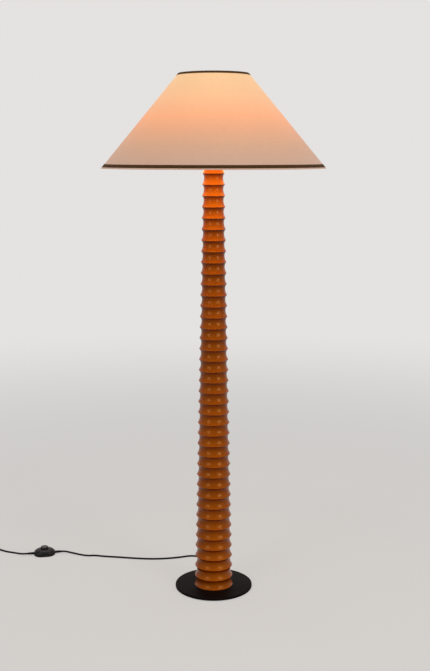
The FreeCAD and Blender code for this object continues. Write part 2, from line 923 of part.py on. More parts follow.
def on_coil(turn):
    """The cord's centre: in along the lower layer, up a layer, and out along the upper one."""
    reverse = coil_turns / 2
    radius = coil_inner_radius + coil_pitch * abs(turn - reverse)
    climb = min(max((turn - reverse) / 0.5 + 0.5, 0.0), 1.0)
    height = coil_low + coil_pitch * (climb - math.sin(2 * math.pi * climb) / (2 * math.pi))
    angle = math.radians(coil_start_angle) + 2 * math.pi * turn
    # The spiral turns round in a smooth curve instead of a corner.
    softness = 0.25
    if abs(turn - reverse) < softness:
        blend = (turn - reverse) ** 2 / (2 * softness) + softness / 2
        radius = coil_inner_radius + coil_pitch * blend
    return coil_centre + Vec(radius * math.cos(angle), radius * math.sin(angle), height)


def least_gap(point_at, turns, thickness):
    """The smallest space between one turn of a tube and the next, measured on points."""
    per_turn = 90
    points = [point_at(index / per_turn) for index in range(int(turns * per_turn) + 1)]
    nearest = min(
        (points[i] - points[j]).Length
        for i in range(len(points))
        for j in range(i + per_turn // 2, len(points))
    )
    return nearest - thickness


coil_path, coil_start, coil_start_direction, coil_end, coil_end_direction = curve_path(
    on_coil, 0, coil_turns, int(coil_turns * 4), 2 * cord_radius, 2 * cord_radius
)


def make_coil():
    coil, share = swept(coil_path, coil_start, coil_start_direction, cord_radius, cord_sides)
    gap = least_gap(on_coil, coil_turns, 2 * cord_radius)
    print(f"coil: length {coil_path.Length:.0f}, least gap {gap:.2f}, volume share {share:.4f}")
    save("cord_coil", coil)

    inner_side = coil_inner_radius - cord_radius - tie_gap
    inner_side = math.sqrt(inner_side**2 - (tie_width / 2) ** 2)
    outer_side = coil_outer_radius + cord_radius + tie_gap
    band_top = coil_low + coil_pitch + cord_radius + tie_gap
    outside = Part.makeBox(
        outer_side - inner_side + 2 * tie_thickness,
        tie_width,
        band_top + tie_thickness,
        Vec(inner_side - tie_thickness, -tie_width / 2, 0),
    )
    inside = Part.makeBox(
        outer_side - inner_side,
        tie_width,
        band_top - tie_thickness,
        Vec(inner_side, -tie_width / 2, tie_thickness),
    )
    tie = outside.cut(inside)
    tie.Placement = FreeCAD.Placement(coil_centre, FreeCAD.Rotation(UP, tie_angle))
    save("coil_tie", tie)


# ---- plug ----
plug_height = plug_thickness / 2
plug_relief_tip = Vec(-802, 152, plug_height)
plug_direction = Vec(0, -1, 0)


def plug_section(along, scale):
    """An eight-cornered outline across the plug, square to its length."""
    half_w = plug_width / 2 * scale
    half_t = plug_thickness / 2 * scale
    cut = plug_corner * scale
    corners = [
        (half_w, half_t - cut),
        (half_w - cut, half_t),
        (cut - half_w, half_t),
        (-half_w, half_t - cut),
        (-half_w, cut - half_t),
        (cut - half_w, -half_t),
        (half_w - cut, -half_t),
        (half_w, cut - half_t),
    ]
    points = [Vec(x, -along, z) for x, z in corners]
    return Part.makePolygon(points + points[:1])


def make_plug():
    depth = plug_front_depth + plug_rear_depth
    rear = plug_relief_length
    front = rear + depth
    body = Part.makeLoft(
        [
            plug_section(rear, plug_rear_share),
            plug_section(rear + plug_rear_depth, 1),
            plug_section(front, 1),
        ],
        True,
        True,
    )
    strain_relief = tapered(ORIGIN, Vec(0, -rear, 0), relief_tip_radius, relief_root_radius)
    pin = turned_polygon(
        [
            (0, 0),
            (pin_radius, 0),
            (pin_radius, pin_length - pin_tip),
            (pin_radius - pin_tip, pin_length),
            (0, pin_length),
        ]
    )
    pins = []
    for side in (-1, 1):
        pins.append(pointed(pin, Vec(side * pin_spacing / 2, -front, 0), plug_direction))
    for name, shape in (
        ("plug_body", body),
        ("plug_relief", strain_relief),
        ("plug_pins", Part.makeCompound(pins)),
    ):
        placed = shape.copy()
        placed.translate(plug_relief_tip)
        save(name, placed)


# ---- free cord on the floor ----
floor = cord_radius
outlet_end = Vec(0, outlet_tip, cord_exit)
switch_in, switch_in_direction = switch_end(1)
switch_out, switch_out_direction = switch_end(-1)

lamp_to_switch = [
    outlet_end,
    outlet_end + Vec(0, 26, 0),
    Vec(-3, 138, 20),
    Vec(-9, 168, 11),
    Vec(-20, 197, 5),
    Vec(-40, 224, floor),
    Vec(-72, 240, floor),
    Vec(-112, 222, floor),
    Vec(-156, 208, floor),
    Vec(-206, 202, floor),
    Vec(-262, 210, floor),
    Vec(-316, 222, floor),
    Vec(-366, 228, floor),
    Vec(-412, 240, floor),
    Vec(-454, 256, floor),
    switch_in + switch_in_direction * 28,
    switch_in,
]
switch_to_coil = [
    switch_out,
    switch_out + switch_out_direction * 22,
    Vec(-664, 249, 4),
    Vec(-692, 268, floor),
    coil_start - coil_start_direction * 28,
    coil_start,
]
coil_to_plug = [
    coil_end,
    coil_end + coil_end_direction * 20,
    Vec(-803.5, 198, 8.5),
    plug_relief_tip - plug_direction * 24,
    plug_relief_tip,
]


def make_cord(name, points):
    path, radii = bent_path(points)
    first = points[1] - points[0]
    first.normalize()
    cord, share = swept(path, points[0], first, cord_radius, cord_sides)
    rounded = ", ".join(f"{radius:.0f}" for radius in radii)
    print(f"{name}: length {path.Length:.0f}, lowest {cord.BoundBox.ZMin:.2f}, volume share {share:.4f}")
    print(f"{name}: radii {rounded}")
    save(name, cord)


make_base()
make_column()
make_outlet()
make_lead()
make_head_fittings()
make_lampholder()
make_bulb()
make_shade()
make_spider()
make_switch()
make_coil()
make_plug()
make_cord("cord_lamp_to_switch", lamp_to_switch)
make_cord("cord_switch_to_coil", switch_to_coil)
make_cord("cord_coil_to_plug", coil_to_plug)
print(f"heights: column {column_top:.1f}, shade {shade_bottom:.1f} to {shade_top:.1f}, holder {holder_top:.1f}")
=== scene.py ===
from math import acos, asin, atan2, copysign, cos, hypot, pi, radians, sin, tan, tau

import bmesh
import bpy
from mathutils import Matrix, Vector


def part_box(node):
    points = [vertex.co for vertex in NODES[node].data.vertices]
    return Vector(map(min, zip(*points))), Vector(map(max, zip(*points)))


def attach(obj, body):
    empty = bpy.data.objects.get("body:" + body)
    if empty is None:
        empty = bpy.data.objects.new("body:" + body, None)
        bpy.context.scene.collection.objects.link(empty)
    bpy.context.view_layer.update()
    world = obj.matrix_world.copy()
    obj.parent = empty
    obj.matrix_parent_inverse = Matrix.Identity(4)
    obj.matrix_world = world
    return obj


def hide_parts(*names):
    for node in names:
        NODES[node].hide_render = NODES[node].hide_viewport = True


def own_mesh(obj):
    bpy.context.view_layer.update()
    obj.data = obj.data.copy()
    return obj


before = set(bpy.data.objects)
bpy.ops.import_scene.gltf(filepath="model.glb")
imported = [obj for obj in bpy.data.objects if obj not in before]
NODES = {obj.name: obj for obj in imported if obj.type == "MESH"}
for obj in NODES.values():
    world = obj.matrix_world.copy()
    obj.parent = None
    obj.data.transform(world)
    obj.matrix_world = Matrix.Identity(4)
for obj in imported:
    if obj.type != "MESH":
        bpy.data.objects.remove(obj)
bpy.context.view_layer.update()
UP = Vector((0, 0, 1))

# ---- sizes in metres, angles in degrees ----
NEAR_AXIS = 1e-7            # a point with a smaller radius lies on the axis

PLATE_RADIUS = 0.118
COLUMN_BORE = 0.008
RING_PITCH = 0.0323
RIDGE_COUNT = 41
FOOT_COVE = 0.0294
FOOT_RADIUS = 0.0586
HEAD_RADIUS = 0.0312
FOOT_DEPTH = 0.0061
HEAD_DEPTH = 0.0051
VALLEY_SHARE = 0.6          # how far up a cove its deepest line lies
NECK_SHOULDER = 0.012
RIDGE_LIP = 0.0007          # half the height over which a ridge's edge is rounded
OUTLET_RECESS = 0.010
OUTLET_DEPTH = 0.012        # length of the outlet's sleeve inside the wood
OUTLET_HEIGHT = 0.024
FITTING_BORE = 0.0051       # radius of the hole that the threaded nipple passes
RING_BORE = 0.01925         # radius of the hole that the holder's shell passes

SHADE_TOP_RADIUS = 0.1006
SHADE_BOTTOM_RADIUS = 0.319
SHADE_WALL = 0.0011
HUB_BOTTOM = 1.4336
HUB_THICKNESS = 0.0015
ARM_RADIUS = 0.00175
TRIM_GAP = 0.00005
TRIM_THICKNESS = 0.0006
SKIRT = 0.0070              # the cloth's hem hangs this far below the stiff cone
HEM_SHOWN = 0.0040          # height of the pale rolled edge under the bottom trim
BOTTOM_TRIM = 0.0086
TOP_TRIM_EXTRA = 0.0012     # the top trim's lower edge laps this much further over the cloth

CORD_RADIUS = 0.003
SWITCH_CENTRE = Vector((-0.566, 0.256, 0))
SWITCH_TURN = 10.6
SWITCH_LENGTH = 0.070
SWITCH_WIDTH = 0.052
SWITCH_BASE_HEIGHT = 0.006
SWITCH_SHOULDER = 0.0082
SWITCH_TOP = 0.0215
SWITCH_WALL = 0.002
SWITCH_CORD_HEIGHT = 0.007
SWITCH_RELIEF = 0.020
RELIEF_ROOT = 0.0046
RELIEF_TIP = 0.0037
BUTTON_RADIUS = 0.0124

COIL_CENTRE = Vector((-0.764, 0.250, 0))
COIL_OUTER = 0.0402
COIL_PITCH = 0.0068
COIL_TURNS = 4.25
COIL_LOW = 0.0042
COIL_START_ANGLE = 90.0
COIL_POINTS_PER_TURN = 24
TIE_ANGLE = 300.0
PLUG_TIP = Vector((-0.802, 0.152, 0.00685))
PLUG_HALF_WIDTH = 0.01765
PLUG_HALF_THICKNESS = 0.00685
PLUG_RELIEF = 0.025
PLUG_LENGTH = 0.036
PIN_RADIUS = 0.002
PIN_JACKET = 0.0095
PIN_LENGTH = 0.019
PIN_SPACING = 0.0186


# ---- mesh helpers ----
def add_object(name, data):
    added = bpy.data.objects.new(name, data)
    bpy.context.scene.collection.objects.link(added)
    return added


def new_object(name, data, body, slot_name, materials, *nodes):
    """A piece that rides a body and stands in for nodes of the part."""
    piece = add_object(name, data)
    for material in materials:
        data.materials.append(material)
    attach(piece, body)
    if nodes:
        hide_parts(*nodes)
    return piece


def smooth(mesh, sharp_degrees=35):
    for polygon in mesh.polygons:
        polygon.use_smooth = True
    mesh.set_sharp_from_angle(angle=radians(sharp_degrees))


def skin(name, rings, closed_along=False):
    """A mesh over rings of equally many points; a ring of one point closes that end."""
    points = []
    starts = []
    for points_of_ring in rings:
        starts.append(len(points))
        points.extend(points_of_ring)
    last = len(rings) - 1
    pairs = [(ring, ring + 1) for ring in range(last)]
    if closed_along:
        pairs.append((last, 0))
    faces = []
    for low, high in pairs:
        for k in range(max(len(rings[low]), len(rings[high]))):
            around = ((low, k), (low, k + 1), (high, k + 1), (high, k))
            corners = [starts[ring] + step % len(rings[ring]) for ring, step in around]
            faces.append(list(dict.fromkeys(corners)))
    if not closed_along:
        for ring, turn in ((0, -1), (last, 1)):
            if len(rings[ring]) > 1:
                faces.append([starts[ring] + k for k in range(len(rings[ring]))][::turn])
    mesh = bpy.data.meshes.new(name)
    mesh.from_pydata([tuple(point) for point in points], [], faces)
    mesh.validate()
    tidy = bmesh.new()
    tidy.from_mesh(mesh)
    bmesh.ops.recalc_face_normals(tidy, faces=tidy.faces)
    tidy.to_mesh(mesh)
    tidy.free()
    smooth(mesh)
    return mesh


def rounded(points, steps=5):
    """An outline whose corners (r, z, radius) are rounded with arcs; (r, z) stays a corner."""
    outline = []
    count = len(points)
    for index, point in enumerate(points):
        here = Vector(point[:2])
        radius = point[2] if len(point) > 2 else 0
        if radius == 0:
            outline.append(here)
            continue
        before = (Vector(points[index - 1][:2]) - here).normalized()
        after = (Vector(points[(index + 1) % count][:2]) - here).normalized()
        half = before.angle(after) / 2
        reach = radius / tan(half)
        centre = here + (before + after).normalized() * (radius / sin(half))
        first = here + before * reach - centre
        last = here + after * reach - centre
        sweep = atan2(first.x * last.y - first.y * last.x, first.dot(last))
        for step in range(steps + 1):
            outline.append(centre + Matrix.Rotation(sweep * step / steps, 2) @ first)
    return outline


def polar(radius, angle, z):
    return Vector((radius * cos(angle), radius * sin(angle), z))


def ring_points(r, z, segments):
    if r < NEAR_AXIS:
        return [Vector((0, 0, z))]
    return [polar(r, tau * k / segments, z) for k in range(segments)]


def bent_line(before, corner, after, shares):
    """Points between two others, on a line that bends at a corner without reaching it."""
    return [before * (1 - s) ** 2 + corner * 2 * s * (1 - s) + after * s**2 for s in shares]


def lathe(name, outline, segments):
    """An outline of (r, z) points turned about Z: closed in itself, or from axis to axis."""
    on_axis = outline[0][0] < NEAR_AXIS and outline[-1][0] < NEAR_AXIS
    return skin(name, [ring_points(r, z, segments) for r, z in outline], closed_along=not on_axis)


def flat_uv(mesh, place):
    """A UV map in metres, from a function of each corner's point and its face's middle."""
    layer = mesh.uv_layers.new(name="flat")
    for polygon in mesh.polygons:
        for loop_index in polygon.loop_indices:
            point = mesh.vertices[mesh.loops[loop_index].vertex_index].co
            layer.data[loop_index].uv = place(point, polygon.center)


def angle_near(point, middle):
    """A point's angle about Z from the back seam, without a jump inside a face."""
    angle = atan2(point.x, -point.y)
    jump = round((angle - atan2(middle.x, -middle.y)) / tau)
    return angle - tau * jump


def around_uv(radius):
    def place(point, middle):
        return angle_near(point, middle) * radius, point.z

    return place


def transformed(mesh, matrix):
    mesh.transform(matrix)
    mesh.update()
    return mesh


def pointing(origin, direction):
    """The matrix that turns +Z to a direction and moves the origin to a point."""
    turn = UP.rotation_difference(Vector(direction)).to_matrix().to_4x4()
    return Matrix.Translation(origin) @ turn


# ---- material helpers ----
class Graph:
    """A material whose nodes are added by name, with sockets or plain values as inputs."""

    def __init__(self, name):
        self.material = bpy.data.materials.new(name)
        self.material.use_nodes = True
        self.tree = self.material.node_tree
        self.shader = self.tree.nodes["Principled BSDF"]
        self.coordinates = self.tree.nodes.new("ShaderNodeTexCoord")

    def set(self, node, inputs):
        for name, value in inputs.items():
            socket = node.inputs[name]
            if isinstance(value, bpy.types.NodeSocket):
                self.tree.links.new(value, socket)
            else:
                socket.default_value = value
        return node

    def add(self, kind, inputs=None, **settings):
        node = self.tree.nodes.new("ShaderNode" + kind)
        for name, value in settings.items():
            setattr(node, name, value)
        return self.set(node, inputs or {})

    def math(self, operation, a, b=0.0):
        return self.add("Math", {0: a, 1: b}, operation=operation).outputs[0]

    def vectors(self, operation, a, b):
        return self.add("VectorMath", {0: a, 1: b}, operation=operation).outputs[0]

    def parts(self, source="Object"):
        return self.add("SeparateXYZ", {"Vector": self.coordinates.outputs[source]}).outputs

    def noise(self, scale, detail=2.0, roughness=0.5, stretch=(1, 1, 1), source="Object", output="Fac"):
        place = {"Vector": self.coordinates.outputs[source], "Scale": stretch}
        spread = self.add("Mapping", place).outputs[0]
        look = {"Vector": spread, "Scale": scale, "Detail": detail, "Roughness": roughness}
        return self.add("TexNoise", look).outputs[output]

    def ramp(self, factor, stops):
        node = self.add("ValToRGB", {"Fac": factor})
        band = node.color_ramp
        while len(band.elements) < len(stops):
            band.elements.new(0.5)
        for element, (place, colour) in zip(band.elements, stops):
            element.position = place
            element.color = (*colour, 1)
        return node.outputs["Color"]

    def between(self, factor, low, high, reach=0.2):
        """From one display colour or plain grey to another over the middle of a factor's range."""
        ends = [srgb(*value) if isinstance(value, tuple) else (value,) * 3 for value in (low, high)]
        return self.ramp(factor, [(0.5 - reach, ends[0]), (0.5 + reach, ends[1])])

    def mix(self, factor, a, b, blend="MIX"):
        node = self.add("Mix", data_type="RGBA", blend_type=blend)
        for index, value in ((0, factor), (6, a), (7, b)):
            socket = node.inputs[index]
            if isinstance(value, bpy.types.NodeSocket):
                self.tree.links.new(value, socket)
            else:
                socket.default_value = value if index == 0 else (*value, 1)
        return node.outputs[2]

    def bump(self, height, distance, strength=1.0, below=None):
        inputs = {"Height": height, "Distance": distance, "Strength": strength}
        if below is not None:
            inputs["Normal"] = below
        return self.add("Bump", inputs).outputs[0]

    def finish(self, **inputs):
        named = {name.replace("_", " "): value for name, value in inputs.items()}
        for name, value in named.items():
            if isinstance(value, tuple):
                named[name] = (*value, 1)
        self.set(self.shader, named)
        return self.material


def srgb(red, green, blue):
    """A display colour of 0 to 255 as linear light."""
    shares = [value / 255 for value in (red, green, blue)]
    return tuple(s / 12.92 if s <= 0.04045 else ((s + 0.055) / 1.055) ** 2.4 for s in shares)


# ---- materials ----
WHITE = (255, 255, 255)
COLUMN_FOOT, COLUMN_TOP = (corner.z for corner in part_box("column"))
LAST_RIDGE = COLUMN_FOOT + FOOT_COVE + (RIDGE_COUNT - 1) * RING_PITCH


def lacquered_wood():
    graph = Graph("lacquered_wood")
    # Growth rings about a line beside the column's axis, wavering slowly along the trunk.
    waver = graph.noise(1.0, 3.0, 0.5, (9, 9, 1.6), output="Color")
    bent = graph.vectors("MULTIPLY", waver, (0.03, 0.03, 0.0))
    moved = graph.vectors("ADD", graph.coordinates.outputs["Object"], bent)
    pith = graph.vectors("ADD", moved, (0.045, 0.06, 0))
    parts = graph.add("SeparateXYZ", {"Vector": pith}).outputs
    along_x = graph.math("ADD", parts["X"], graph.math("MULTIPLY", parts["Z"], 0.035))
    square = graph.math("ADD", graph.math("POWER", along_x, 2.0), graph.math("POWER", parts["Y"], 2.0))
    rings_per_metre = 260.0
    phase = graph.math("FRACT", graph.math("MULTIPLY", graph.math("SQRT", square), rings_per_metre))
    ring = graph.ramp(
        phase, [(0.0, (0, 0, 0)), (0.62, (0.35, 0.35, 0.35)), (0.86, (1, 1, 1)), (1.0, (0, 0, 0))]
    )
    streak = graph.noise(1.0, 4.0, 0.6, (900, 900, 14))
    cloud = graph.noise(1.0, 2.0, 0.5, (14, 14, 4))
    colour = graph.mix(graph.math("MULTIPLY", ring, 0.4), srgb(166, 86, 3), srgb(136, 62, 2))
    colour = graph.mix(0.35, colour, graph.between(streak, (214, 196, 176), WHITE), "MULTIPLY")
    colour = graph.mix(0.7, colour, graph.between(cloud, (216, 206, 196), WHITE), "MULTIPLY")
    # Painted shade darkens the wood just under each ridge, and a painted highlight makes the lip of
    # each ridge paler.
    ring_below_floor = LAST_RIDGE - 60 * RING_PITCH
    pitches_up = graph.math(
        "DIVIDE", graph.math("SUBTRACT", graph.parts()["Z"], ring_below_floor), RING_PITCH
    )
    painted_ridge_shade_and_highlight = graph.ramp(
        graph.math("FRACT", pitches_up),
        [
            (0.0, srgb(255, 244, 224)), (0.04, srgb(255, 240, 214)), (0.14, srgb(250, 238, 214)),
            (0.45, srgb(238, 228, 206)), (0.74, srgb(208, 184, 152)), (0.89, srgb(166, 122, 80)),
            (0.965, srgb(140, 88, 50)), (0.99, srgb(240, 216, 186)),
        ],
    )
    # The painted shade and highlight of the ridges are multiplied into the wood's colour.
    colour = graph.mix(1.0, colour, painted_ridge_shade_and_highlight, "MULTIPLY")
    return graph.finish(
        Base_Color=colour, Roughness=graph.between(cloud, 0.21, 0.25), Specular_IOR_Level=0.3,
        Normal=graph.bump(streak, 0.00001, 0.35), Specular_Tint=srgb(255, 190, 116),
    )


def powder_black():
    graph = Graph("powder_black")
    wide = graph.noise(12.0, 3.0, 0.5)
    grit = graph.noise(1500.0, 2.0, 0.6)
    return graph.finish(
        Base_Color=graph.between(wide, (9, 4, 3), (14, 7, 5)), Specular_IOR_Level=0.03,
        Roughness=graph.between(wide, 0.46, 0.54), Normal=graph.bump(grit, 0.00008, 0.6),
    )


def felt():
    graph = Graph("felt")
    fibre = graph.noise(900.0, 4.0, 0.7)
    colour = graph.between(fibre, (22, 22, 22), (48, 48, 46))
    return graph.finish(
        Base_Color=colour, Roughness=0.95, Normal=graph.bump(fibre, 0.0004), Sheen_Weight=0.3
    )


def metal(name, light, dark, roughness):
    graph = Graph(name)
    brushed = graph.noise(1.0, 3.0, 0.6, (200, 200, 2500))
    stain = graph.math("MULTIPLY", graph.noise(60.0, 3.0, 0.6), 0.6)
    return graph.finish(
        Base_Color=graph.mix(stain, srgb(*light), srgb(*dark)), Metallic=1.0,
        Roughness=graph.between(brushed, *roughness, reach=0.25),
        Normal=graph.bump(brushed, 0.00003, 0.5),
    )


def moulded(name, light, dark, roughness, grain=2200.0, coat=0.0, specular=0.4):
    graph = Graph(name)
    pattern = graph.noise(grain, 2.0, 0.55)
    colour = graph.between(graph.noise(25.0, 2.0, 0.5), dark, light)
    return graph.finish(
        Base_Color=colour, Roughness=graph.between(pattern, *roughness), Coat_Weight=coat,
        Normal=graph.bump(pattern, 0.00005, 0.4), Specular_IOR_Level=specular,
    )


def weave(graph, threads_per_metre):
    """Crossed threads over the flat cut: 1 on top of a thread, 0 between threads."""
    parts = graph.parts("UV")
    wobble = graph.math("MULTIPLY", graph.noise(35.0, 2.0, 0.5), 0.4)
    waves = []
    for axis in ("X", "Y"):
        turns = graph.math("ADD", graph.math("MULTIPLY", parts[axis], threads_per_metre), wobble)
        waves.append(graph.math("SINE", graph.math("MULTIPLY", turns, tau)))
    return graph.math("MULTIPLY_ADD", graph.math("MULTIPLY", *waves), 0.5)


SHADE_LOW, SHADE_HIGH = (corner.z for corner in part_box("shade_cover"))
GLASS_LOW, GLASS_HIGH = 1.43, 1.534
# Painted glow of the bulb's light through the cloth: emission colours by share of the shade's height,
# brightest near the top.
PAINTED_GLOW_STOPS = [
    (0.00, srgb(153, 114, 98)), (0.20, srgb(178, 121, 83)), (0.38, srgb(213, 129, 70)),
    (0.52, srgb(241, 142, 66)), (0.72, srgb(241, 169, 101)), (0.95, srgb(236, 184, 114)),
]


def share_of_height(graph, low, high):
    """0 at one height, and 1 at another."""
    inputs = {"Value": graph.parts()["Z"], "From Min": low, "From Max": high}
    return graph.add("MapRange", inputs).outputs["Result"]


def shade_fabric():
    graph = Graph("shade_fabric")
    slub = graph.noise(1.0, 3.0, 0.6, (60, 900, 1), "UV")
    cloud = graph.between(graph.noise(7.0, 2.0, 0.5), (246, 243, 240), WHITE)
    # The cloth's emission is painted glow, standing in for the bulb's light shining through it.
    glow = graph.ramp(share_of_height(graph, SHADE_LOW, SHADE_HIGH), PAINTED_GLOW_STOPS)
    glow = graph.mix(0.5, glow, cloud, "MULTIPLY")
    glow = graph.mix(0.35, glow, graph.between(slub, (244, 240, 234), WHITE, 0.15), "MULTIPLY")
    cloth = graph.between(slub, (150, 128, 112), (158, 136, 119))
    normal = graph.bump(weave(graph, 1400.0), 0.00012, 0.5, graph.bump(slub, 0.00015, 0.4))
    return graph.finish(
        Base_Color=cloth, Roughness=0.85, Normal=normal, Sheen_Weight=0.15, Emission_Color=glow,
        Emission_Strength=0.75, Specular_IOR_Level=0.2,
    )


def shade_liner():
    graph = Graph("shade_liner")
    # The liner's emission is painted glow, standing in for the bulb's light falling on the inside of
    # the shade.
    glow = graph.ramp(
        share_of_height(graph, SHADE_LOW, SHADE_HIGH),
        [(0.0, srgb(226, 168, 112)), (0.5, srgb(250, 200, 140)), (1.0, srgb(255, 214, 160))],
    )
    mottle = graph.noise(40.0, 2.0, 0.5)
    return graph.finish(
        Base_Color=graph.between(mottle, (216, 200, 180), (226, 210, 190)), Roughness=0.45,
        Emission_Color=glow, Emission_Strength=0.55, Normal=graph.bump(mottle, 0.0001, 0.3),
    )


def ribbon():
    graph = Graph("ribbon")
    ribs_per_metre = 900
    ribs = graph.math(
        "SINE", graph.math("MULTIPLY", graph.parts("UV")["X"], tau * ribs_per_metre)
    )
    colour = graph.between(graph.noise(160.0, 3.0, 0.6), (54, 32, 8), (70, 44, 14))
    return graph.finish(
        Base_Color=colour, Roughness=0.8, Normal=graph.bump(ribs, 0.00015, 0.6), Specular_IOR_Level=0.1
    )


def frosted_glass():
    graph = Graph("frosted_glass")
    glow = graph.ramp(
        share_of_height(graph, GLASS_LOW, GLASS_HIGH),
        [(0.0, srgb(255, 190, 120)), (0.45, srgb(255, 226, 178)), (1.0, srgb(255, 236, 200))],
    )
    dust = graph.noise(300.0, 2.0, 0.5)
    return graph.finish(
        Base_Color=graph.between(dust, (196, 180, 158), (206, 190, 168)), Roughness=0.25,
        Emission_Color=glow, Emission_Strength=0.7, Coat_Weight=0.3,
        Normal=graph.bump(dust, 0.00002, 0.3),
    )


WOOD = lacquered_wood()
BLACK_METAL = powder_black()
FELT = felt()
STEEL = metal("zinc_steel", (196, 196, 194), (150, 150, 150), (0.28, 0.42))
BRASS = metal("satin_brass", (222, 178, 104), (176, 130, 66), (0.2, 0.34))
NICKEL = metal("nickel_plate", (206, 204, 198), (168, 164, 156), (0.16, 0.28))
BLACK_PLASTIC = moulded("black_plastic", (20, 17, 16), (14, 12, 11), (0.32, 0.42), specular=0.18)
GLOSS_BLACK = moulded("gloss_black", (16, 14, 14), (11, 9, 9), (0.2, 0.28), coat=0.1, specular=0.25)
SHEATH = moulded("cord_sheath", (16, 12, 11), (10, 8, 7), (0.45, 0.55), 700.0, specular=0.1)
PORCELAIN = moulded("porcelain", (232, 228, 218), (220, 214, 202), (0.2, 0.3), coat=0.4)
CLOTH = shade_fabric()
LINER = shade_liner()
RIBBON = ribbon()
WIRE = moulded("enamelled_wire", (226, 214, 196), (212, 200, 182), (0.3, 0.4))
GLASS = frosted_glass()


# ---- camera: the photograph's eye, solved from the disc and the shade's rims ----
IMAGE_HEIGHT = 671
FOCAL_PIXELS = 1046.24
SENSOR = 36.0
TILT_DOWN = 9.82
EYE = Vector((0.0041, -3.070, 1.3195))

camera_data = bpy.data.cameras.new("camera")
camera_data.sensor_fit = "AUTO"
camera_data.sensor_width = SENSOR
camera_data.lens = FOCAL_PIXELS / IMAGE_HEIGHT * SENSOR
camera_data.clip_start = 0.05
camera_data.clip_end = 60
camera = add_object("camera", camera_data)
camera.location = EYE
camera.rotation_euler = (radians(90 - TILT_DOWN), 0, 0)
bpy.context.scene.camera = camera


# ---- cords ----
def cord_curve(name, points, body):
    curve = bpy.data.curves.new(name, "CURVE")
    curve.dimensions = "3D"
    curve.bevel_depth = CORD_RADIUS
    curve.bevel_resolution = 5
    curve.resolution_u = 8
    curve.use_fill_caps = True
    spline = curve.splines.new("NURBS")
    spline.points.add(len(points) - 1)
    for slot, point in zip(spline.points, points):
        slot.co = (*point, 1)
    spline.order_u = 3
    spline.use_endpoint_u = True
    return new_object(name, curve, body, "cord_black", [SHEATH])


def switch_tip(side):
    turn = radians(SWITCH_TURN)
    direction = Vector((side * cos(turn), side * sin(turn), 0))
    tip = SWITCH_CENTRE + direction * (SWITCH_LENGTH / 2 + SWITCH_RELIEF)
    return tip + Vector((0, 0, SWITCH_CORD_HEIGHT)), direction


def on_coil(turn):
    """The cord's centre: in along the lower layer, up a layer, and out along the upper one."""
    reverse = COIL_TURNS / 2
    off = abs(turn - reverse)
    softness = 0.25
    if off < softness:
        off = off**2 / (2 * softness) + softness / 2
    radius = COIL_OUTER - COIL_PITCH * reverse + COIL_PITCH * off
    climb = min(max((turn - reverse) / 0.5 + 0.5, 0.0), 1.0)
    height = COIL_LOW + COIL_PITCH * (climb - sin(tau * climb) / (tau))
    angle = radians(COIL_START_ANGLE) + tau * turn
    return COIL_CENTRE + polar(radius, angle, height)


def on_floor(*places):
    return [Vector((x, y, CORD_RADIUS)) for x, y in places]


outlet_tip = Vector((0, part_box("cord_outlet")[1].y, OUTLET_HEIGHT))
switch_in, switch_in_direction = switch_tip(1)
switch_out, switch_out_direction = switch_tip(-1)
coil_count = int(COIL_TURNS * COIL_POINTS_PER_TURN)
coil_points = [on_coil(index / COIL_POINTS_PER_TURN) for index in range(coil_count + 1)]
coil_in_direction = (coil_points[1] - coil_points[0]).normalized()
coil_out_direction = (coil_points[-1] - coil_points[-2]).normalized()
coil_lead = 2 * CORD_RADIUS
coil_start = coil_points[0] - coil_in_direction * coil_lead
coil_end = coil_points[-1] + coil_out_direction * coil_lead

lamp_to_switch = [
    outlet_tip,
    outlet_tip + Vector((0, 0.026, 0)),
    Vector((-0.003, 0.138, 0.020)),
    Vector((-0.009, 0.168, 0.011)),
    Vector((-0.020, 0.197, 0.005)),
    *on_floor(
        (-0.040, 0.224), (-0.072, 0.240), (-0.112, 0.224), (-0.156, 0.213), (-0.206, 0.209),
        (-0.262, 0.215), (-0.316, 0.225), (-0.366, 0.232), (-0.396, 0.241), (-0.418, 0.237),
        (-0.446, 0.247),
    ),
    Vector((-0.476, 0.262, 0.004)),
    switch_in + switch_in_direction * 0.012,
    switch_in,
]
switch_to_plug = [
    switch_out,
    switch_out + switch_out_direction * 0.010,
    Vector((-0.646, 0.252, 0.004)),
    *on_floor((-0.672, 0.265), (-0.698, 0.274)),
    coil_start - coil_in_direction * 0.028,
    coil_start,
    *coil_points,
    coil_end,
    coil_end + coil_out_direction * 0.020,
    Vector((-0.8035, 0.198, 0.0085)),
    PLUG_TIP + Vector((0, 0.024, 0)),
    PLUG_TIP,
]
cord_near = cord_curve("cord_lamp_side", lamp_to_switch, "stand")
cord_far = cord_curve("cord_plug_side", switch_to_plug, "stand")
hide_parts("cord_lamp_to_switch")
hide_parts("cord_switch_to_coil", "cord_coil", "cord_coil_to_plug")


# ---- base ----
def make_base():
    low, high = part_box("base_plate")
    outline = rounded(
        [(0, low.z), (PLATE_RADIUS, low.z, 0.0005), (PLATE_RADIUS, high.z, 0.0016), (0, high.z)]
    )
    turned_piece(
        "base_disc", outline, "stand", "black_metal", BLACK_METAL, "base_plate", segments=192
    )


# ---- turned column ----
def share_up(height):
    return (height - COLUMN_FOOT) / (LAST_RIDGE - COLUMN_FOOT)


def ridge_radius(height):
    return FOOT_RADIUS + (HEAD_RADIUS - FOOT_RADIUS) * share_up(height)


def valley_radius(height):
    return ridge_radius(height) - FOOT_DEPTH - (HEAD_DEPTH - FOOT_DEPTH) * share_up(height)


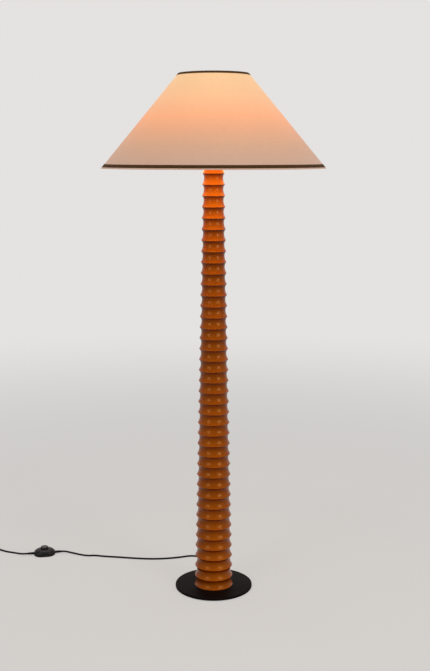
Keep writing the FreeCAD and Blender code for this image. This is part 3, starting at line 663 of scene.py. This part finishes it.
def flare(bottom, top, upward):
    """Points of one flare of a cove from its deepest line to just short of a ridge."""
    steps = 8
    valley_z = bottom + VALLEY_SHARE * (top - bottom)
    valley_r = valley_radius(valley_z)
    ridge_z = top if upward else bottom
    width = ridge_radius(ridge_z) - valley_r
    height = abs(ridge_z - valley_z)
    radius = (width**2 + height**2) / (2 * width)
    last = asin((height - RIDGE_LIP) / radius)
    points = []
    for step in range(steps + 1):
        angle = last * step / steps
        rise = radius * sin(angle) * (1 if upward else -1)
        points.append(Vector((valley_r + radius * (1 - cos(angle)), valley_z + rise)))
    return points


def lip(before, ridge, after):
    """The slightly rounded edge between two flares."""
    return bent_line(before, ridge, after, (0.2, 0.4, 0.6, 0.8))


def column_outline():
    heights = [COLUMN_FOOT] + [COLUMN_FOOT + FOOT_COVE + k * RING_PITCH for k in range(RIDGE_COUNT)]
    foot = Vector((ridge_radius(COLUMN_FOOT), COLUMN_FOOT))
    outline = [Vector((COLUMN_BORE, COLUMN_FOOT)), foot]
    for low, high in zip(heights, heights[1:]):
        down = flare(low, high, False)[::-1]
        if low > COLUMN_FOOT:
            outline += lip(outline[-1], Vector((ridge_radius(low), low)), down[0])
        outline += down + flare(low, high, True)[1:]
    neck_radius = valley_radius(LAST_RIDGE)
    neck_bottom = LAST_RIDGE + NECK_SHOULDER
    past_ridge = Vector((HEAD_RADIUS - 0.0004, LAST_RIDGE + 0.001))
    outline += lip(outline[-1], Vector((HEAD_RADIUS, LAST_RIDGE)), past_ridge)
    neck = (
        (neck_radius + 0.0006, neck_bottom - 0.0012), (neck_radius, neck_bottom),
        (neck_radius, COLUMN_TOP - 0.001), (neck_radius - 0.001, COLUMN_TOP), (COLUMN_BORE, COLUMN_TOP),
    )
    return outline + [Vector(point) for point in neck]


def cut_out(mesh, cutter):
    """Takes a closed mesh's space out of another, and keeps the result's plain mesh."""
    target = add_object("cut_target", mesh)
    tool = add_object("cut_tool", cutter)
    change = target.modifiers.new("cut", "BOOLEAN")
    change.operation = "DIFFERENCE"
    change.solver = "EXACT"
    change.object = tool
    bpy.context.view_layer.update()
    evaluated = target.evaluated_get(bpy.context.evaluated_depsgraph_get())
    result = bpy.data.meshes.new_from_object(evaluated)
    bpy.data.objects.remove(target)
    bpy.data.objects.remove(tool)
    smooth(result)
    return result


def make_column():
    mesh = lathe("column_turned", column_outline(), 112)
    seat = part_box("cord_outlet")[0].y + OUTLET_DEPTH
    recess = lathe("recess", [(0, 0), (OUTLET_RECESS, 0), (OUTLET_RECESS, 0.03), (0, 0.03)], 48)
    transformed(recess, pointing((0, seat, outlet_tip.z), (0, 1, 0)))
    new_object("column_turned", cut_out(mesh, recess), "stand", "lacquered_wood", [WOOD], "column")


def make_outlet():
    low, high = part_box("cord_outlet")
    length = high.y - low.y
    bore = CORD_RADIUS * 0.98
    outline = rounded([
        (bore, 0), (0.00645, 0), (0.00645, OUTLET_DEPTH), (0.009, OUTLET_DEPTH, 0.0006),
        (0.009, 0.0145, 0.001), (0.0062, 0.0145, 0.0008), (0.004, length, 0.0005), (bore, length),
    ], 4)
    place = pointing((0, low.y, outlet_tip.z), (0, 1, 0))
    turned_piece(
        "outlet_sleeve", outline, "stand", "black_plastic", BLACK_PLASTIC, "cord_outlet", segments=64,
        place=place,
    )


# ---- fittings and lampholder ----
def turned_piece(
    name, outline, body, slot_name, material, *nodes, segments=96, place=Matrix()
):
    mesh = transformed(lathe(name, outline, segments), place)
    new_object(name, mesh, body, slot_name, [material], *nodes)


def make_fittings():
    low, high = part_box("column_cap")
    wall = 0.0013
    outline = rounded([
        (high.x - wall, low.z), (high.x, low.z, 0.0004), (high.x, high.z - 0.0042, 0.003),
        (high.x - 0.0045, high.z, 0.002), (FITTING_BORE, high.z), (FITTING_BORE, high.z - wall),
        (high.x - 0.006, high.z - wall), (high.x - wall, high.z - 0.0055),
    ])
    turned_piece("cap_brass", outline, "stand", "brass", BRASS, "column_cap")
    low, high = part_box("neck_sleeve")
    waist = high.x - 0.001
    outline = rounded([
        (FITTING_BORE, low.z), (high.x, low.z, 0.0006), (high.x, low.z + 0.003, 0.0006),
        (waist, low.z + 0.0035, 0.0004), (waist, high.z - 0.0035, 0.0004),
        (high.x, high.z - 0.003, 0.0006), (high.x, high.z, 0.0006), (FITTING_BORE, high.z),
    ], 3)
    turned_piece("sleeve_brass", outline, "stand", "brass", BRASS, "neck_sleeve")


def make_lampholder():
    low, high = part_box("holder_cap")
    wall = 0.0018
    neck = 0.0085
    outline = rounded([
        (FITTING_BORE, low.z), (neck, low.z, 0.0006), (neck, low.z + 0.0052, 0.0015),
        (high.x, low.z + 0.0159, 0.006), (high.x, high.z, 0.0005), (high.x - wall, high.z),
        (high.x - wall, low.z + 0.018), (neck, low.z + 0.0075), (FITTING_BORE, low.z + 0.007),
    ])
    turned_piece("holder_bowl", outline, "stand", "black_plastic", GLOSS_BLACK, "holder_cap")
    low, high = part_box("holder_shell")
    outline = [(high.x - wall, low.z), (high.x, low.z, 0.0004)]
    thread_pitch = 0.0026
    turns = int((high.z - low.z - 0.006) / thread_pitch)
    for k in range(turns):
        z = low.z + 0.003 + k * thread_pitch
        outline += [(high.x, z), (high.x - 0.0007, z + thread_pitch * 0.5)]
    mouth, ledge = 0.0148, high.z - 0.002
    outline += [
        (high.x, high.z, 0.0012), (mouth, high.z, 0.0005), (mouth, ledge), (high.x - wall, ledge)
    ]
    turned_piece(
        "holder_sleeve", rounded(outline, 4), "stand", "black_plastic", GLOSS_BLACK, "holder_shell"
    )

    for name, node in (("ring_seat", "shade_seat_ring"), ("ring_nut", "shade_nut")):
        low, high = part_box(node)
        edge = 0.0009
        ribs = 48
        outline = [
            (RING_BORE, low.z), (high.x, low.z, edge), (high.x, high.z, edge), (RING_BORE, high.z)
        ]
        mesh = lathe(name, rounded(outline, 4), ribs * 4)
        # A coin-edge grip: the rim waves in and out once for each rib.
        for vertex in mesh.vertices:
            radius = hypot(vertex.co.x, vertex.co.y)
            if radius > high.x - edge * 1.5:
                angle = atan2(vertex.co.y, vertex.co.x)
                draw_in = 0.0003 * (1 - cos(ribs * angle))
                vertex.co.x *= 1 - draw_in / radius
                vertex.co.y *= 1 - draw_in / radius
        smooth(mesh, 50)
        new_object(name, mesh, "stand", "black_plastic", [GLOSS_BLACK], node)

    low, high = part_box("holder_screw_shell")
    outer = []
    inner = []
    steps = 12
    for k in range(steps + 1):
        z = low.z + (high.z - low.z) * k / steps
        swell = 0.00025 * cos(k * pi)
        outer.append((high.x - 0.0003 + swell, z))
        inner.append((high.x - 0.0007 + swell * 0.5, z))
    turned_piece("holder_thread", outer + inner[::-1], "stand", "brass", BRASS, "holder_screw_shell")


# ---- bulb ----
def make_bulb():
    low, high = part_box("bulb_glass")
    cap_low, cap_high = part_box("bulb_cap")
    globe = high.x
    middle = high.z - globe
    neck_r, neck_z = 0.0146, cap_high.z + 0.0076
    drop = middle - neck_z
    distance = hypot(neck_r, drop)
    touch = acos(globe / distance) + atan2(neck_r, drop)
    outline = [
        (0, low.z), (0.01215, low.z), (0.01215, cap_high.z), (0.0128, cap_high.z + 0.002),
        (0.0136, neck_z - 0.002), (neck_r + 0.0004, neck_z + 0.001),
    ]
    steps = 28
    for step in range(steps + 1):
        angle = touch + (pi - touch) * step / steps
        across = globe * sin(angle) if step < steps else 0
        outline.append((across, middle - globe * cos(angle)))
    turned_piece("bulb_envelope", outline, "bulb", "bulb_glass", GLASS, "bulb_glass")
    outline = [(0.0122, cap_low.z), (0.0126, cap_low.z)]
    pitch = 0.00363
    rows = 36
    for k in range(rows + 1):
        z = cap_low.z + 0.001 + (cap_high.z - cap_low.z - 0.004) * k / rows
        swell = 0.5 + 0.5 * cos(tau * (z - cap_low.z) / pitch)
        outline.append((0.0124 + 0.0008 * swell, z))
    outline += [
        (0.0131, cap_high.z - 0.002), (0.0131, cap_high.z - 0.0004), (0.0128, cap_high.z),
        (0.0122, cap_high.z),
    ]
    turned_piece("bulb_thread", outline, "bulb", "nickel", NICKEL, "bulb_cap")


# ---- shade ----
SHADE_FLARE = (SHADE_BOTTOM_RADIUS - SHADE_TOP_RADIUS) / (SHADE_HIGH - SHADE_LOW)
SHADE_SLANT = hypot(1, SHADE_FLARE)
CONE_SHARE = SHADE_FLARE / SHADE_SLANT      # the flat cut's angle as a share of a full turn


def shade_radius(height, inside=0.0):
    return SHADE_TOP_RADIUS + SHADE_FLARE * (SHADE_HIGH - height) - inside * SHADE_SLANT


def flat_cone_uv(point, middle):
    """Where a point of the cone lay on the flat cloth before it was rolled up."""
    away = hypot(point.x, point.y) / CONE_SHARE
    angle = angle_near(point, middle) * CONE_SHARE
    return away * sin(angle), away * cos(angle)


def fold(level, offsets):
    """Points given by how far out from the cone's face and how far up from a level they lie."""
    return [(shade_radius(level) + out, level + up) for out, up in offsets]


def make_cover():
    low, high = SHADE_LOW - SKIRT, SHADE_HIGH
    rows = 24
    hem = 0.0032
    outer = []
    inner = []
    for k in range(rows + 1):
        z = low + hem + (high - low - hem - 0.002) * k / rows
        outer.append((shade_radius(z), z))
        z = high - 0.005 - (high - SHADE_LOW - 0.012) * k / rows
        inner.append((shade_radius(z, SHADE_WALL), z))
    top_fold = fold(
        high,
        [
            (0.0001, -0.0008), (-0.0008, 0), (-0.0052, -0.0002), (-0.0062, -0.0012), (-0.0058, -0.0042),
            (-0.0012, -0.0046),
        ],
    )
    bottom_fold = fold(SHADE_LOW, [(-0.0082, 0.0066), (-0.0086, 0.0016), (-0.0074, -0.0003)])
    bottom_fold += fold(
        low, [(-0.0042, 0.0006), (-0.0034, 0), (-0.0006, 0), (0.0003, 0.0007), (-0.0004, 0.0022)]
    )
    mesh = lathe("shade_cloth", outer + top_fold + inner + bottom_fold, 256)
    flat_uv(mesh, flat_cone_uv)
    new_object("shade_cloth", mesh, "shade", "shade_fabric", [CLOTH, LINER], "shade_cover")
    for polygon in mesh.polygons:
        centre = polygon.center
        wall = shade_radius(centre.z, SHADE_WALL * 0.5)
        facing_in = polygon.normal.x * centre.x + polygon.normal.y * centre.y < 0
        if facing_in and hypot(centre.x, centre.y) < wall:
            polygon.material_index = 1


def make_trim(name, node, low, high):
    outside = -TRIM_GAP - TRIM_THICKNESS
    edge = 0.0002
    middle = (low + high) / 2
    profile = (
        (low, -TRIM_GAP), (low, outside + edge), (low + edge, outside), (middle, outside - 0.0001),
        (high - edge, outside), (high, outside + edge), (high, -TRIM_GAP),
    )
    mesh = lathe(name, [(shade_radius(z, inside), z) for z, inside in profile], 256)
    flat_uv(mesh, around_uv(shade_radius(low)))
    new_object(name, mesh, "shade", "trim_fabric", [RIBBON], node)


def make_hoop(name, node):
    low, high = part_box(node)
    radius = (high.z - low.z) / 2
    middle_r = high.x - radius
    middle_z = (low.z + high.z) / 2
    count = 12
    outline = []
    for k in range(count):
        angle = tau * k / count
        outline.append((middle_r + radius * cos(angle), middle_z + radius * sin(angle)))
    turned_piece(name, outline, "shade", "white_wire", WIRE, node, segments=192)


def tube_along(points, radius, sides=14):
    """Rings along a line of points, each square to the line there."""
    angles = [tau * k / sides for k in range(sides)]
    rings = []
    side = None
    for index, point in enumerate(points):
        ahead = points[min(index + 1, len(points) - 1)]
        behind = points[max(index - 1, 0)]
        direction = (ahead - behind).normalized()
        if side is None:
            side = direction.cross(Vector((0, 1, 0))).normalized()
        side = (side - direction * side.dot(direction)).normalized()
        rise = direction.cross(side)
        rings.append(
            [point + side * (radius * cos(a)) + rise * (radius * sin(a)) for a in angles]
        )
    return rings


def joined(name, meshes):
    """One mesh from several."""
    painted_ridge_shade_and_highlight = bmesh.new()
    for mesh in meshes:
        painted_ridge_shade_and_highlight.from_mesh(mesh)
        bpy.data.meshes.remove(mesh)
    result = bpy.data.meshes.new(name)
    painted_ridge_shade_and_highlight.to_mesh(result)
    painted_ridge_shade_and_highlight.free()
    smooth(result)
    return result


def make_spider():
    wire_low, wire_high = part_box("shade_top_wire")
    hub_inner, hub_outer, hub_top = 0.0195, 0.033, HUB_BOTTOM + HUB_THICKNESS
    outline = [
        (hub_inner, HUB_BOTTOM), (hub_outer, HUB_BOTTOM, 0.0005), (hub_outer, hub_top, 0.0005),
        (hub_inner, hub_top, 0.0003),
    ]
    meshes = [lathe("hub", rounded(outline, 3), 96)]
    wire_r = wire_high.x - ARM_RADIUS
    wire_z = (wire_low.z + wire_high.z) / 2
    middle = HUB_BOTTOM + HUB_THICKNESS / 2
    bend = Vector((0.037, 0, middle))
    end = Vector((wire_r - 0.0016, 0, wire_z - 0.0030))
    bend_reach, steps = 0.0055, 8
    before = bend - Vector((bend_reach, 0, 0))
    after = bend + (end - bend).normalized() * bend_reach
    line = [Vector((0.0288, 0, middle))]
    line += bent_line(before, bend, after, [step / steps for step in range(steps + 1)])
    line.append(end)
    for arm in range(3):
        mesh = skin("arm", tube_along(line, ARM_RADIUS))
        mesh.transform(Matrix.Rotation(radians(90 + 120 * arm), 4, "Z"))
        meshes.append(mesh)
    new_object(
        "spider_wire", joined("spider_wire", meshes), "shade", "white_wire", [WIRE], "shade_spider"
    )


# ---- foot switch ----
SWITCH_TURNED = Matrix.Rotation(radians(SWITCH_TURN), 4, "Z")
SWITCH_PLACE = Matrix.Translation(SWITCH_CENTRE) @ SWITCH_TURNED


def stadium_ring(inset, z):
    """Half-round ends and straight sides, drawn in by an inset."""
    radius = SWITCH_WIDTH / 2 - inset
    half = (SWITCH_LENGTH - SWITCH_WIDTH) / 2
    round_steps = 28
    straight_steps = 6
    points = []
    for side, first in ((1, -90), (-1, 90)):
        for step in range(round_steps + 1):
            angle = radians(first + 180 * step / round_steps)
            x = side * half + radius * cos(angle)
            points.append(Vector((x, radius * sin(angle), z)))
        for step in range(1, straight_steps):
            points.append(Vector((side * half * (1 - 2 * step / straight_steps), side * radius, z)))
    return points


def circle_like(points, radius, z):
    """Points of a circle at the same angles as the given ones."""
    return [polar(radius, atan2(p.y, p.x), z) for p in points]


def dome_ring(wall, top_radius, share):
    """A ring of the lid's dome, from its rim at share 0 to the button's hole at share 1."""
    angle = pi / 2 * share
    rim = stadium_ring(wall, 0)
    crown = circle_like(rim, top_radius, 0)
    inward = 1 - cos(angle)
    height = SWITCH_SHOULDER + (SWITCH_TOP - wall - SWITCH_SHOULDER) * sin(angle)
    return [low * (1 - inward) + high * inward + UP * height for low, high in zip(rim, crown)]


def make_switch():
    split = SWITCH_BASE_HEIGHT
    groove = 0.00035
    profile = [
        (0.004, 0.0), (0.0012, 0.0), (0.0003, 0.0005), (0, 0.0014), (0, split - groove),
        (groove, split), (0.004, split),
    ]
    rings = [stadium_ring(inset, z) for inset, z in profile]
    mesh = transformed(skin("switch_tray", rings), SWITCH_PLACE)
    new_object("switch_tray", mesh, "stand", "black_plastic", [BLACK_PLASTIC], "switch_base")

    bottom = split + 0.00005
    hole = BUTTON_RADIUS + 0.0005
    steps = 12
    profile = [(SWITCH_WALL, bottom), (groove, bottom), (0, bottom + groove)]
    rings = [stadium_ring(inset, z) for inset, z in profile]
    rings += [dome_ring(0, hole + 0.0012, step / steps) for step in range(steps + 1)]
    last = rings[-1]
    rings.append(circle_like(last, hole + 0.0004, SWITCH_TOP - 0.0003))
    rings.append(circle_like(last, hole, SWITCH_TOP - 0.001))
    rings.append(circle_like(last, hole, SWITCH_TOP - SWITCH_WALL - 0.0003))
    rings += [dome_ring(SWITCH_WALL, hole + 0.0008, step / steps) for step in range(steps, -1, -3)]
    mesh = transformed(skin("switch_lid", rings, closed_along=True), SWITCH_PLACE)
    new_object("switch_lid", mesh, "stand", "black_plastic", [BLACK_PLASTIC], "switch_cover")

    low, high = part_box("switch_button")
    hollow, flange, flange_top = 0.0104, 0.0140, low.z + 0.0015
    outline = rounded([
        (0, high.z - 0.0036), (hollow, high.z - 0.0036), (hollow, low.z), (flange, low.z),
        (flange, flange_top), (BUTTON_RADIUS, flange_top), (BUTTON_RADIUS, high.z, 0.0016),
        (0.0096, high.z, 0.0005), (0.0090, high.z - 0.0005, 0.0005), (0, high.z - 0.0003),
    ], 6)
    turned_piece(
        "button_cap", outline, "switch_button", "black_plastic", GLOSS_BLACK, "switch_button",
        place=SWITCH_PLACE,
    )


def make_spring():
    low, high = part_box("switch_spring")
    radius, wire, turns, steps = 0.005, 0.0005, 3, 32
    points = []
    for k in range(turns * steps + 1):
        angle = pi / 2 + tau * k / steps
        height = low.z + wire + (high.z - low.z - 2 * wire) * k / (turns * steps)
        points.append(polar(radius, angle, height))
    middle = Vector((SWITCH_CENTRE.x, SWITCH_CENTRE.y, 0))
    mesh = transformed(skin("spring_coil", tube_along(points, wire, 8)), Matrix.Translation(middle))
    spring = new_object("spring_coil", mesh, "stand", "steel", [STEEL], "switch_spring")
    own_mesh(spring)
    return spring


def ribbed_sleeve(name, length, ribs):
    """A tapered strain relief with slots round it, from its root at z = 0 to its tip."""
    outline = [(0, 0), (RELIEF_ROOT, 0)]
    step = length / (ribs + 1)
    slot_share, slot_depth = 0.36, 0.0007

    def radius_at(z):
        return RELIEF_ROOT + (RELIEF_TIP - RELIEF_ROOT) * z / length

    for k in range(ribs):
        z = step * (k + 0.7)
        half = step * slot_share / 2
        deep = radius_at(z) - slot_depth
        outline += [(radius_at(z - half), z - half), (deep, z - half * 0.7)]
        outline += [(deep, z + half * 0.7), (radius_at(z + half), z + half)]
    outline += [(RELIEF_TIP, length - 0.0005), (RELIEF_TIP - 0.0003, length), (0, length)]
    return lathe(name, outline, 48)


def make_reliefs():
    meshes = []
    for side in (1, -1):
        tip, direction = switch_tip(side)
        root = tip - direction * SWITCH_RELIEF
        meshes.append(transformed(ribbed_sleeve("relief", SWITCH_RELIEF, 5), pointing(root, direction)))
    mesh = joined("relief_sleeves", meshes)
    return new_object("relief_sleeves", mesh, "stand", "cord_black", [SHEATH], "switch_reliefs")


# ---- tie and plug ----
def make_tie():
    inner = COIL_OUTER - COIL_PITCH * COIL_TURNS / 2 - CORD_RADIUS - 0.0007
    outer = COIL_OUTER + CORD_RADIUS + 0.0008
    bottom = 0.0009
    top = COIL_LOW + COIL_PITCH + CORD_RADIUS + 0.0008
    half_width = 0.006
    corner = 0.0045
    loops = []
    for grow in (0.0, 0.0008):
        left, right, under, over = inner - grow, outer + grow, bottom - grow, top + grow
        corners = ((left, under), (right, under), (right, over), (left, over))
        loops.append(rounded([(*place, corner + grow) for place in corners], 7))
    rings = []
    for loop, across in ((loops[1], -1), (loops[1], 1), (loops[0], 1), (loops[0], -1)):
        rings.append([Vector((point.x, across * half_width, point.y)) for point in loop])
    mesh = skin("tie_band", rings, closed_along=True)
    place = Matrix.Translation(COIL_CENTRE) @ Matrix.Rotation(radians(TIE_ANGLE), 4, "Z")
    return new_object(
        "tie_band", transformed(mesh, place), "stand", "black_plastic", [FELT], "coil_tie"
    )


def squared_ring(half_w, half_t, power, z):
    """A rounded oblong: the higher the power, the squarer it is."""
    points = []
    count = 64
    for k in range(count):
        angle = tau * k / count
        c, s = cos(angle), sin(angle)
        x = half_w * copysign(abs(c) ** (2 / power), c)
        points.append(Vector((x, half_t * copysign(abs(s) ** (2 / power), s), z)))
    return points


def make_plug():
    rings = []
    for along, scale in (
        (0.0, 0.60), (0.0006, 0.655), (0.002, 0.69), (0.008, 0.74), (0.016, 0.86), (0.022, 0.965),
        (0.0255, 1.0), (0.0345, 1.0), (0.0355, 0.985), (PLUG_LENGTH, 0.95),
    ):
        half_w, half_t = PLUG_HALF_WIDTH * scale, PLUG_HALF_THICKNESS * scale
        rings.append(squared_ring(half_w, half_t, 4.5, PLUG_RELIEF + along))
    place = pointing(PLUG_TIP, (0, -1, 0))
    mesh = transformed(skin("plug_shell", rings), place)
    body = new_object("plug_shell", mesh, "stand", "black_plastic", [BLACK_PLASTIC], "plug_body")
    mesh = ribbed_sleeve("plug_sleeve", PLUG_RELIEF, 6)
    mesh.transform(Matrix.Translation((0, 0, PLUG_RELIEF)) @ Matrix.Rotation(pi, 4, "X"))
    sleeve = new_object(
        "plug_sleeve", transformed(mesh, place), "stand", "cord_black", [SHEATH], "plug_relief"
    )
    tip_outline = [
        (0, PIN_JACKET), (PIN_RADIUS, PIN_JACKET), (PIN_RADIUS, PIN_LENGTH, 0.0012), (0, PIN_LENGTH)
    ]
    jacket_outline = [(0, 0), (PIN_RADIUS, 0), (PIN_RADIUS, PIN_JACKET, 0.0002), (0, PIN_JACKET)]
    metal_pins = []
    sleeves = []
    for side in (-1, 1):
        shift = Matrix.Translation((side * PIN_SPACING / 2, 0, PLUG_RELIEF + PLUG_LENGTH))
        metal_pins.append(transformed(lathe("pin", rounded(tip_outline, 6), 32), place @ shift))
        sleeves.append(transformed(lathe("jacket", rounded(jacket_outline, 3), 32), place @ shift))
    mesh = joined("plug_tips", metal_pins)
    pins = new_object("plug_tips", mesh, "stand", "nickel", [NICKEL], "plug_pins")
    mesh = joined("plug_jackets", sleeves)
    jackets = new_object("plug_jackets", mesh, "stand", "black_plastic", [BLACK_PLASTIC])
    return [body, sleeve, pins, jackets]


make_base()
make_column()
make_outlet()
make_fittings()
make_lampholder()
make_bulb()
make_cover()
top_trim_low, top_trim_high = (corner.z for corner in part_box("shade_top_trim"))
make_trim("trim_top", "shade_top_trim", top_trim_low - TOP_TRIM_EXTRA, top_trim_high)
hem_top = SHADE_LOW - SKIRT + HEM_SHOWN
make_trim("trim_bottom", "shade_bottom_trim", hem_top, hem_top + BOTTOM_TRIM)
make_hoop("hoop_top", "shade_top_wire")
make_hoop("hoop_bottom", "shade_bottom_wire")
make_spider()
make_switch()
spring = make_spring()
reliefs = make_reliefs()
tie = make_tie()
plug_pieces = make_plug()

# ---- finishes of the pieces that keep the part's own solids ----
finishes = (
    (FELT, "base_pad"),
    (STEEL, "base_screws", "fixing_plate", "fixing_screws", "nipple", "lock_nut", "switch_screws"),
    (SHEATH, "column_lead"),
    (PORCELAIN, "holder_insert", "switch_block"),
    (BRASS, "holder_contact"),
    (NICKEL, "bulb_contact"),
    (GLOSS_BLACK, "bulb_insulator"),
)
for material, *nodes in finishes:
    for node in nodes:
        mesh = NODES[node].data
        mesh.materials.clear()
        mesh.materials.append(material)

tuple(switch_out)

# ---- floor, world and lights ----
STAGE_HALF = 14.0
AMBIENT = 0.14
FLOOR_COLOUR = (0.52, 0.505, 0.49)
FLOOR_FADE = 0.55          # the backdrop's share of the floor beside the lamp
SKY_COLOUR = (0.78, 0.765, 0.75)

floor_mesh = bpy.data.meshes.new("floor")
corners = [(x * STAGE_HALF, y * STAGE_HALF, 0) for x, y in ((-1, -1), (1, -1), (1, 1), (-1, 1))]
floor_mesh.from_pydata(corners, [], [(0, 1, 2, 3)])
floor = add_object("floor", floor_mesh)


def seen_directly(tree):
    """1 for the rays that show the backdrop: the camera's, reflected ones and those through glass."""
    path = tree.nodes.new("ShaderNodeLightPath")
    total = path.outputs["Is Camera Ray"]
    for name in ("Is Glossy Ray", "Is Transmission Ray"):
        widest = tree.nodes.new("ShaderNodeMath")
        widest.operation = "MAXIMUM"
        tree.links.new(total, widest.inputs[0])
        tree.links.new(path.outputs[name], widest.inputs[1])
        total = widest.outputs[0]
    return total


def floor_material():
    """A pale matt floor that fades into the backdrop's colour far from the lamp."""
    graph = Graph("floor")
    parts = graph.parts()
    flat = graph.add("CombineXYZ", {"X": parts["X"], "Y": parts["Y"]})
    distance = graph.add("VectorMath", {0: flat.outputs[0]}, operation="LENGTH").outputs["Value"]
    fade = graph.add(
        "MapRange",
        {"Value": distance, "From Min": 0.8, "From Max": 4.8, "To Min": FLOOR_FADE, "To Max": 1.0},
        interpolation_type="SMOOTHSTEP",
    ).outputs["Result"]
    share = graph.math("MULTIPLY", fade, seen_directly(graph.tree))
    mottle = graph.noise(3.0, 2.0, 0.5)
    colour = graph.mix(mottle, tuple(c * 0.985 for c in FLOOR_COLOUR), FLOOR_COLOUR)
    graph.finish(Base_Color=colour, Roughness=0.85, Specular_IOR_Level=0.1)
    backdrop = graph.add("Emission", {"Color": (*SKY_COLOUR, 1), "Strength": 1.0})
    output = graph.tree.nodes["Material Output"]
    mixed = graph.add("MixShader", {0: share, 1: graph.shader.outputs[0], 2: backdrop.outputs[0]})
    graph.tree.links.new(mixed.outputs[0], output.inputs["Surface"])
    return graph.material


floor_mesh.materials.append(floor_material())

world = bpy.data.worlds.new("world")
bpy.context.scene.world = world
world.use_nodes = True
tree = world.node_tree
background = tree.nodes["Background"]
background.inputs["Color"].default_value = (*SKY_COLOUR, 1)
strength = tree.nodes.new("ShaderNodeMapRange")
tree.links.new(seen_directly(tree), strength.inputs["Value"])
strength.inputs["To Min"].default_value = AMBIENT
strength.inputs["To Max"].default_value = 1.0
tree.links.new(strength.outputs["Result"], background.inputs["Strength"])


def area_light(name, place, target, size, power, colour=(1, 1, 1)):
    data = bpy.data.lights.new(name, "AREA")
    data.shape = "RECTANGLE"
    data.size, data.size_y = size
    data.energy = power
    data.color = colour
    light = add_object(name, data)
    light.location = place
    light.rotation_euler = (Vector(target) - Vector(place)).to_track_quat("-Z", "Y").to_euler()
    return light


LAMP_MIDDLE = (0, 0, 0.7)
area_light("softbox_left", (-2.05, -2.45, 1.15), LAMP_MIDDLE, (1.4, 1.4), 26)
area_light("softbox_right", (2.3, -2.3, 1.15), LAMP_MIDDLE, (1.4, 1.4), 37)
area_light("softbox_top", (0, 0, 4.2), (0, 0, 0), (4.5, 4.5), 150)

# The lit inside of the shade, as the column, the disc and the floor see it from below.
shade_glow = area_light(
    "shade_glow", (0, 0, SHADE_LOW + 0.004), (0, 0, 0), (0.56, 0.56), 2.6, (1.0, 0.55, 0.17)
)
shade_glow.data.shape = "DISK"
shade_glow.visible_camera = False

bulb_light = bpy.data.lights.new("bulb_light", "POINT")
bulb_light.energy = 8
bulb_light.color = (1.0, 0.50, 0.20)
bulb_light.shadow_soft_size = 0.0302
bulb_lamp = add_object("bulb_light", bulb_light)
bulb_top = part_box("bulb_glass")[1].z
globe_drop = 0.030                  # the globe's middle below its top
bulb_lamp.location = (0, 0, bulb_top - globe_drop)

bpy.context.scene.view_settings.view_transform = "Standard"
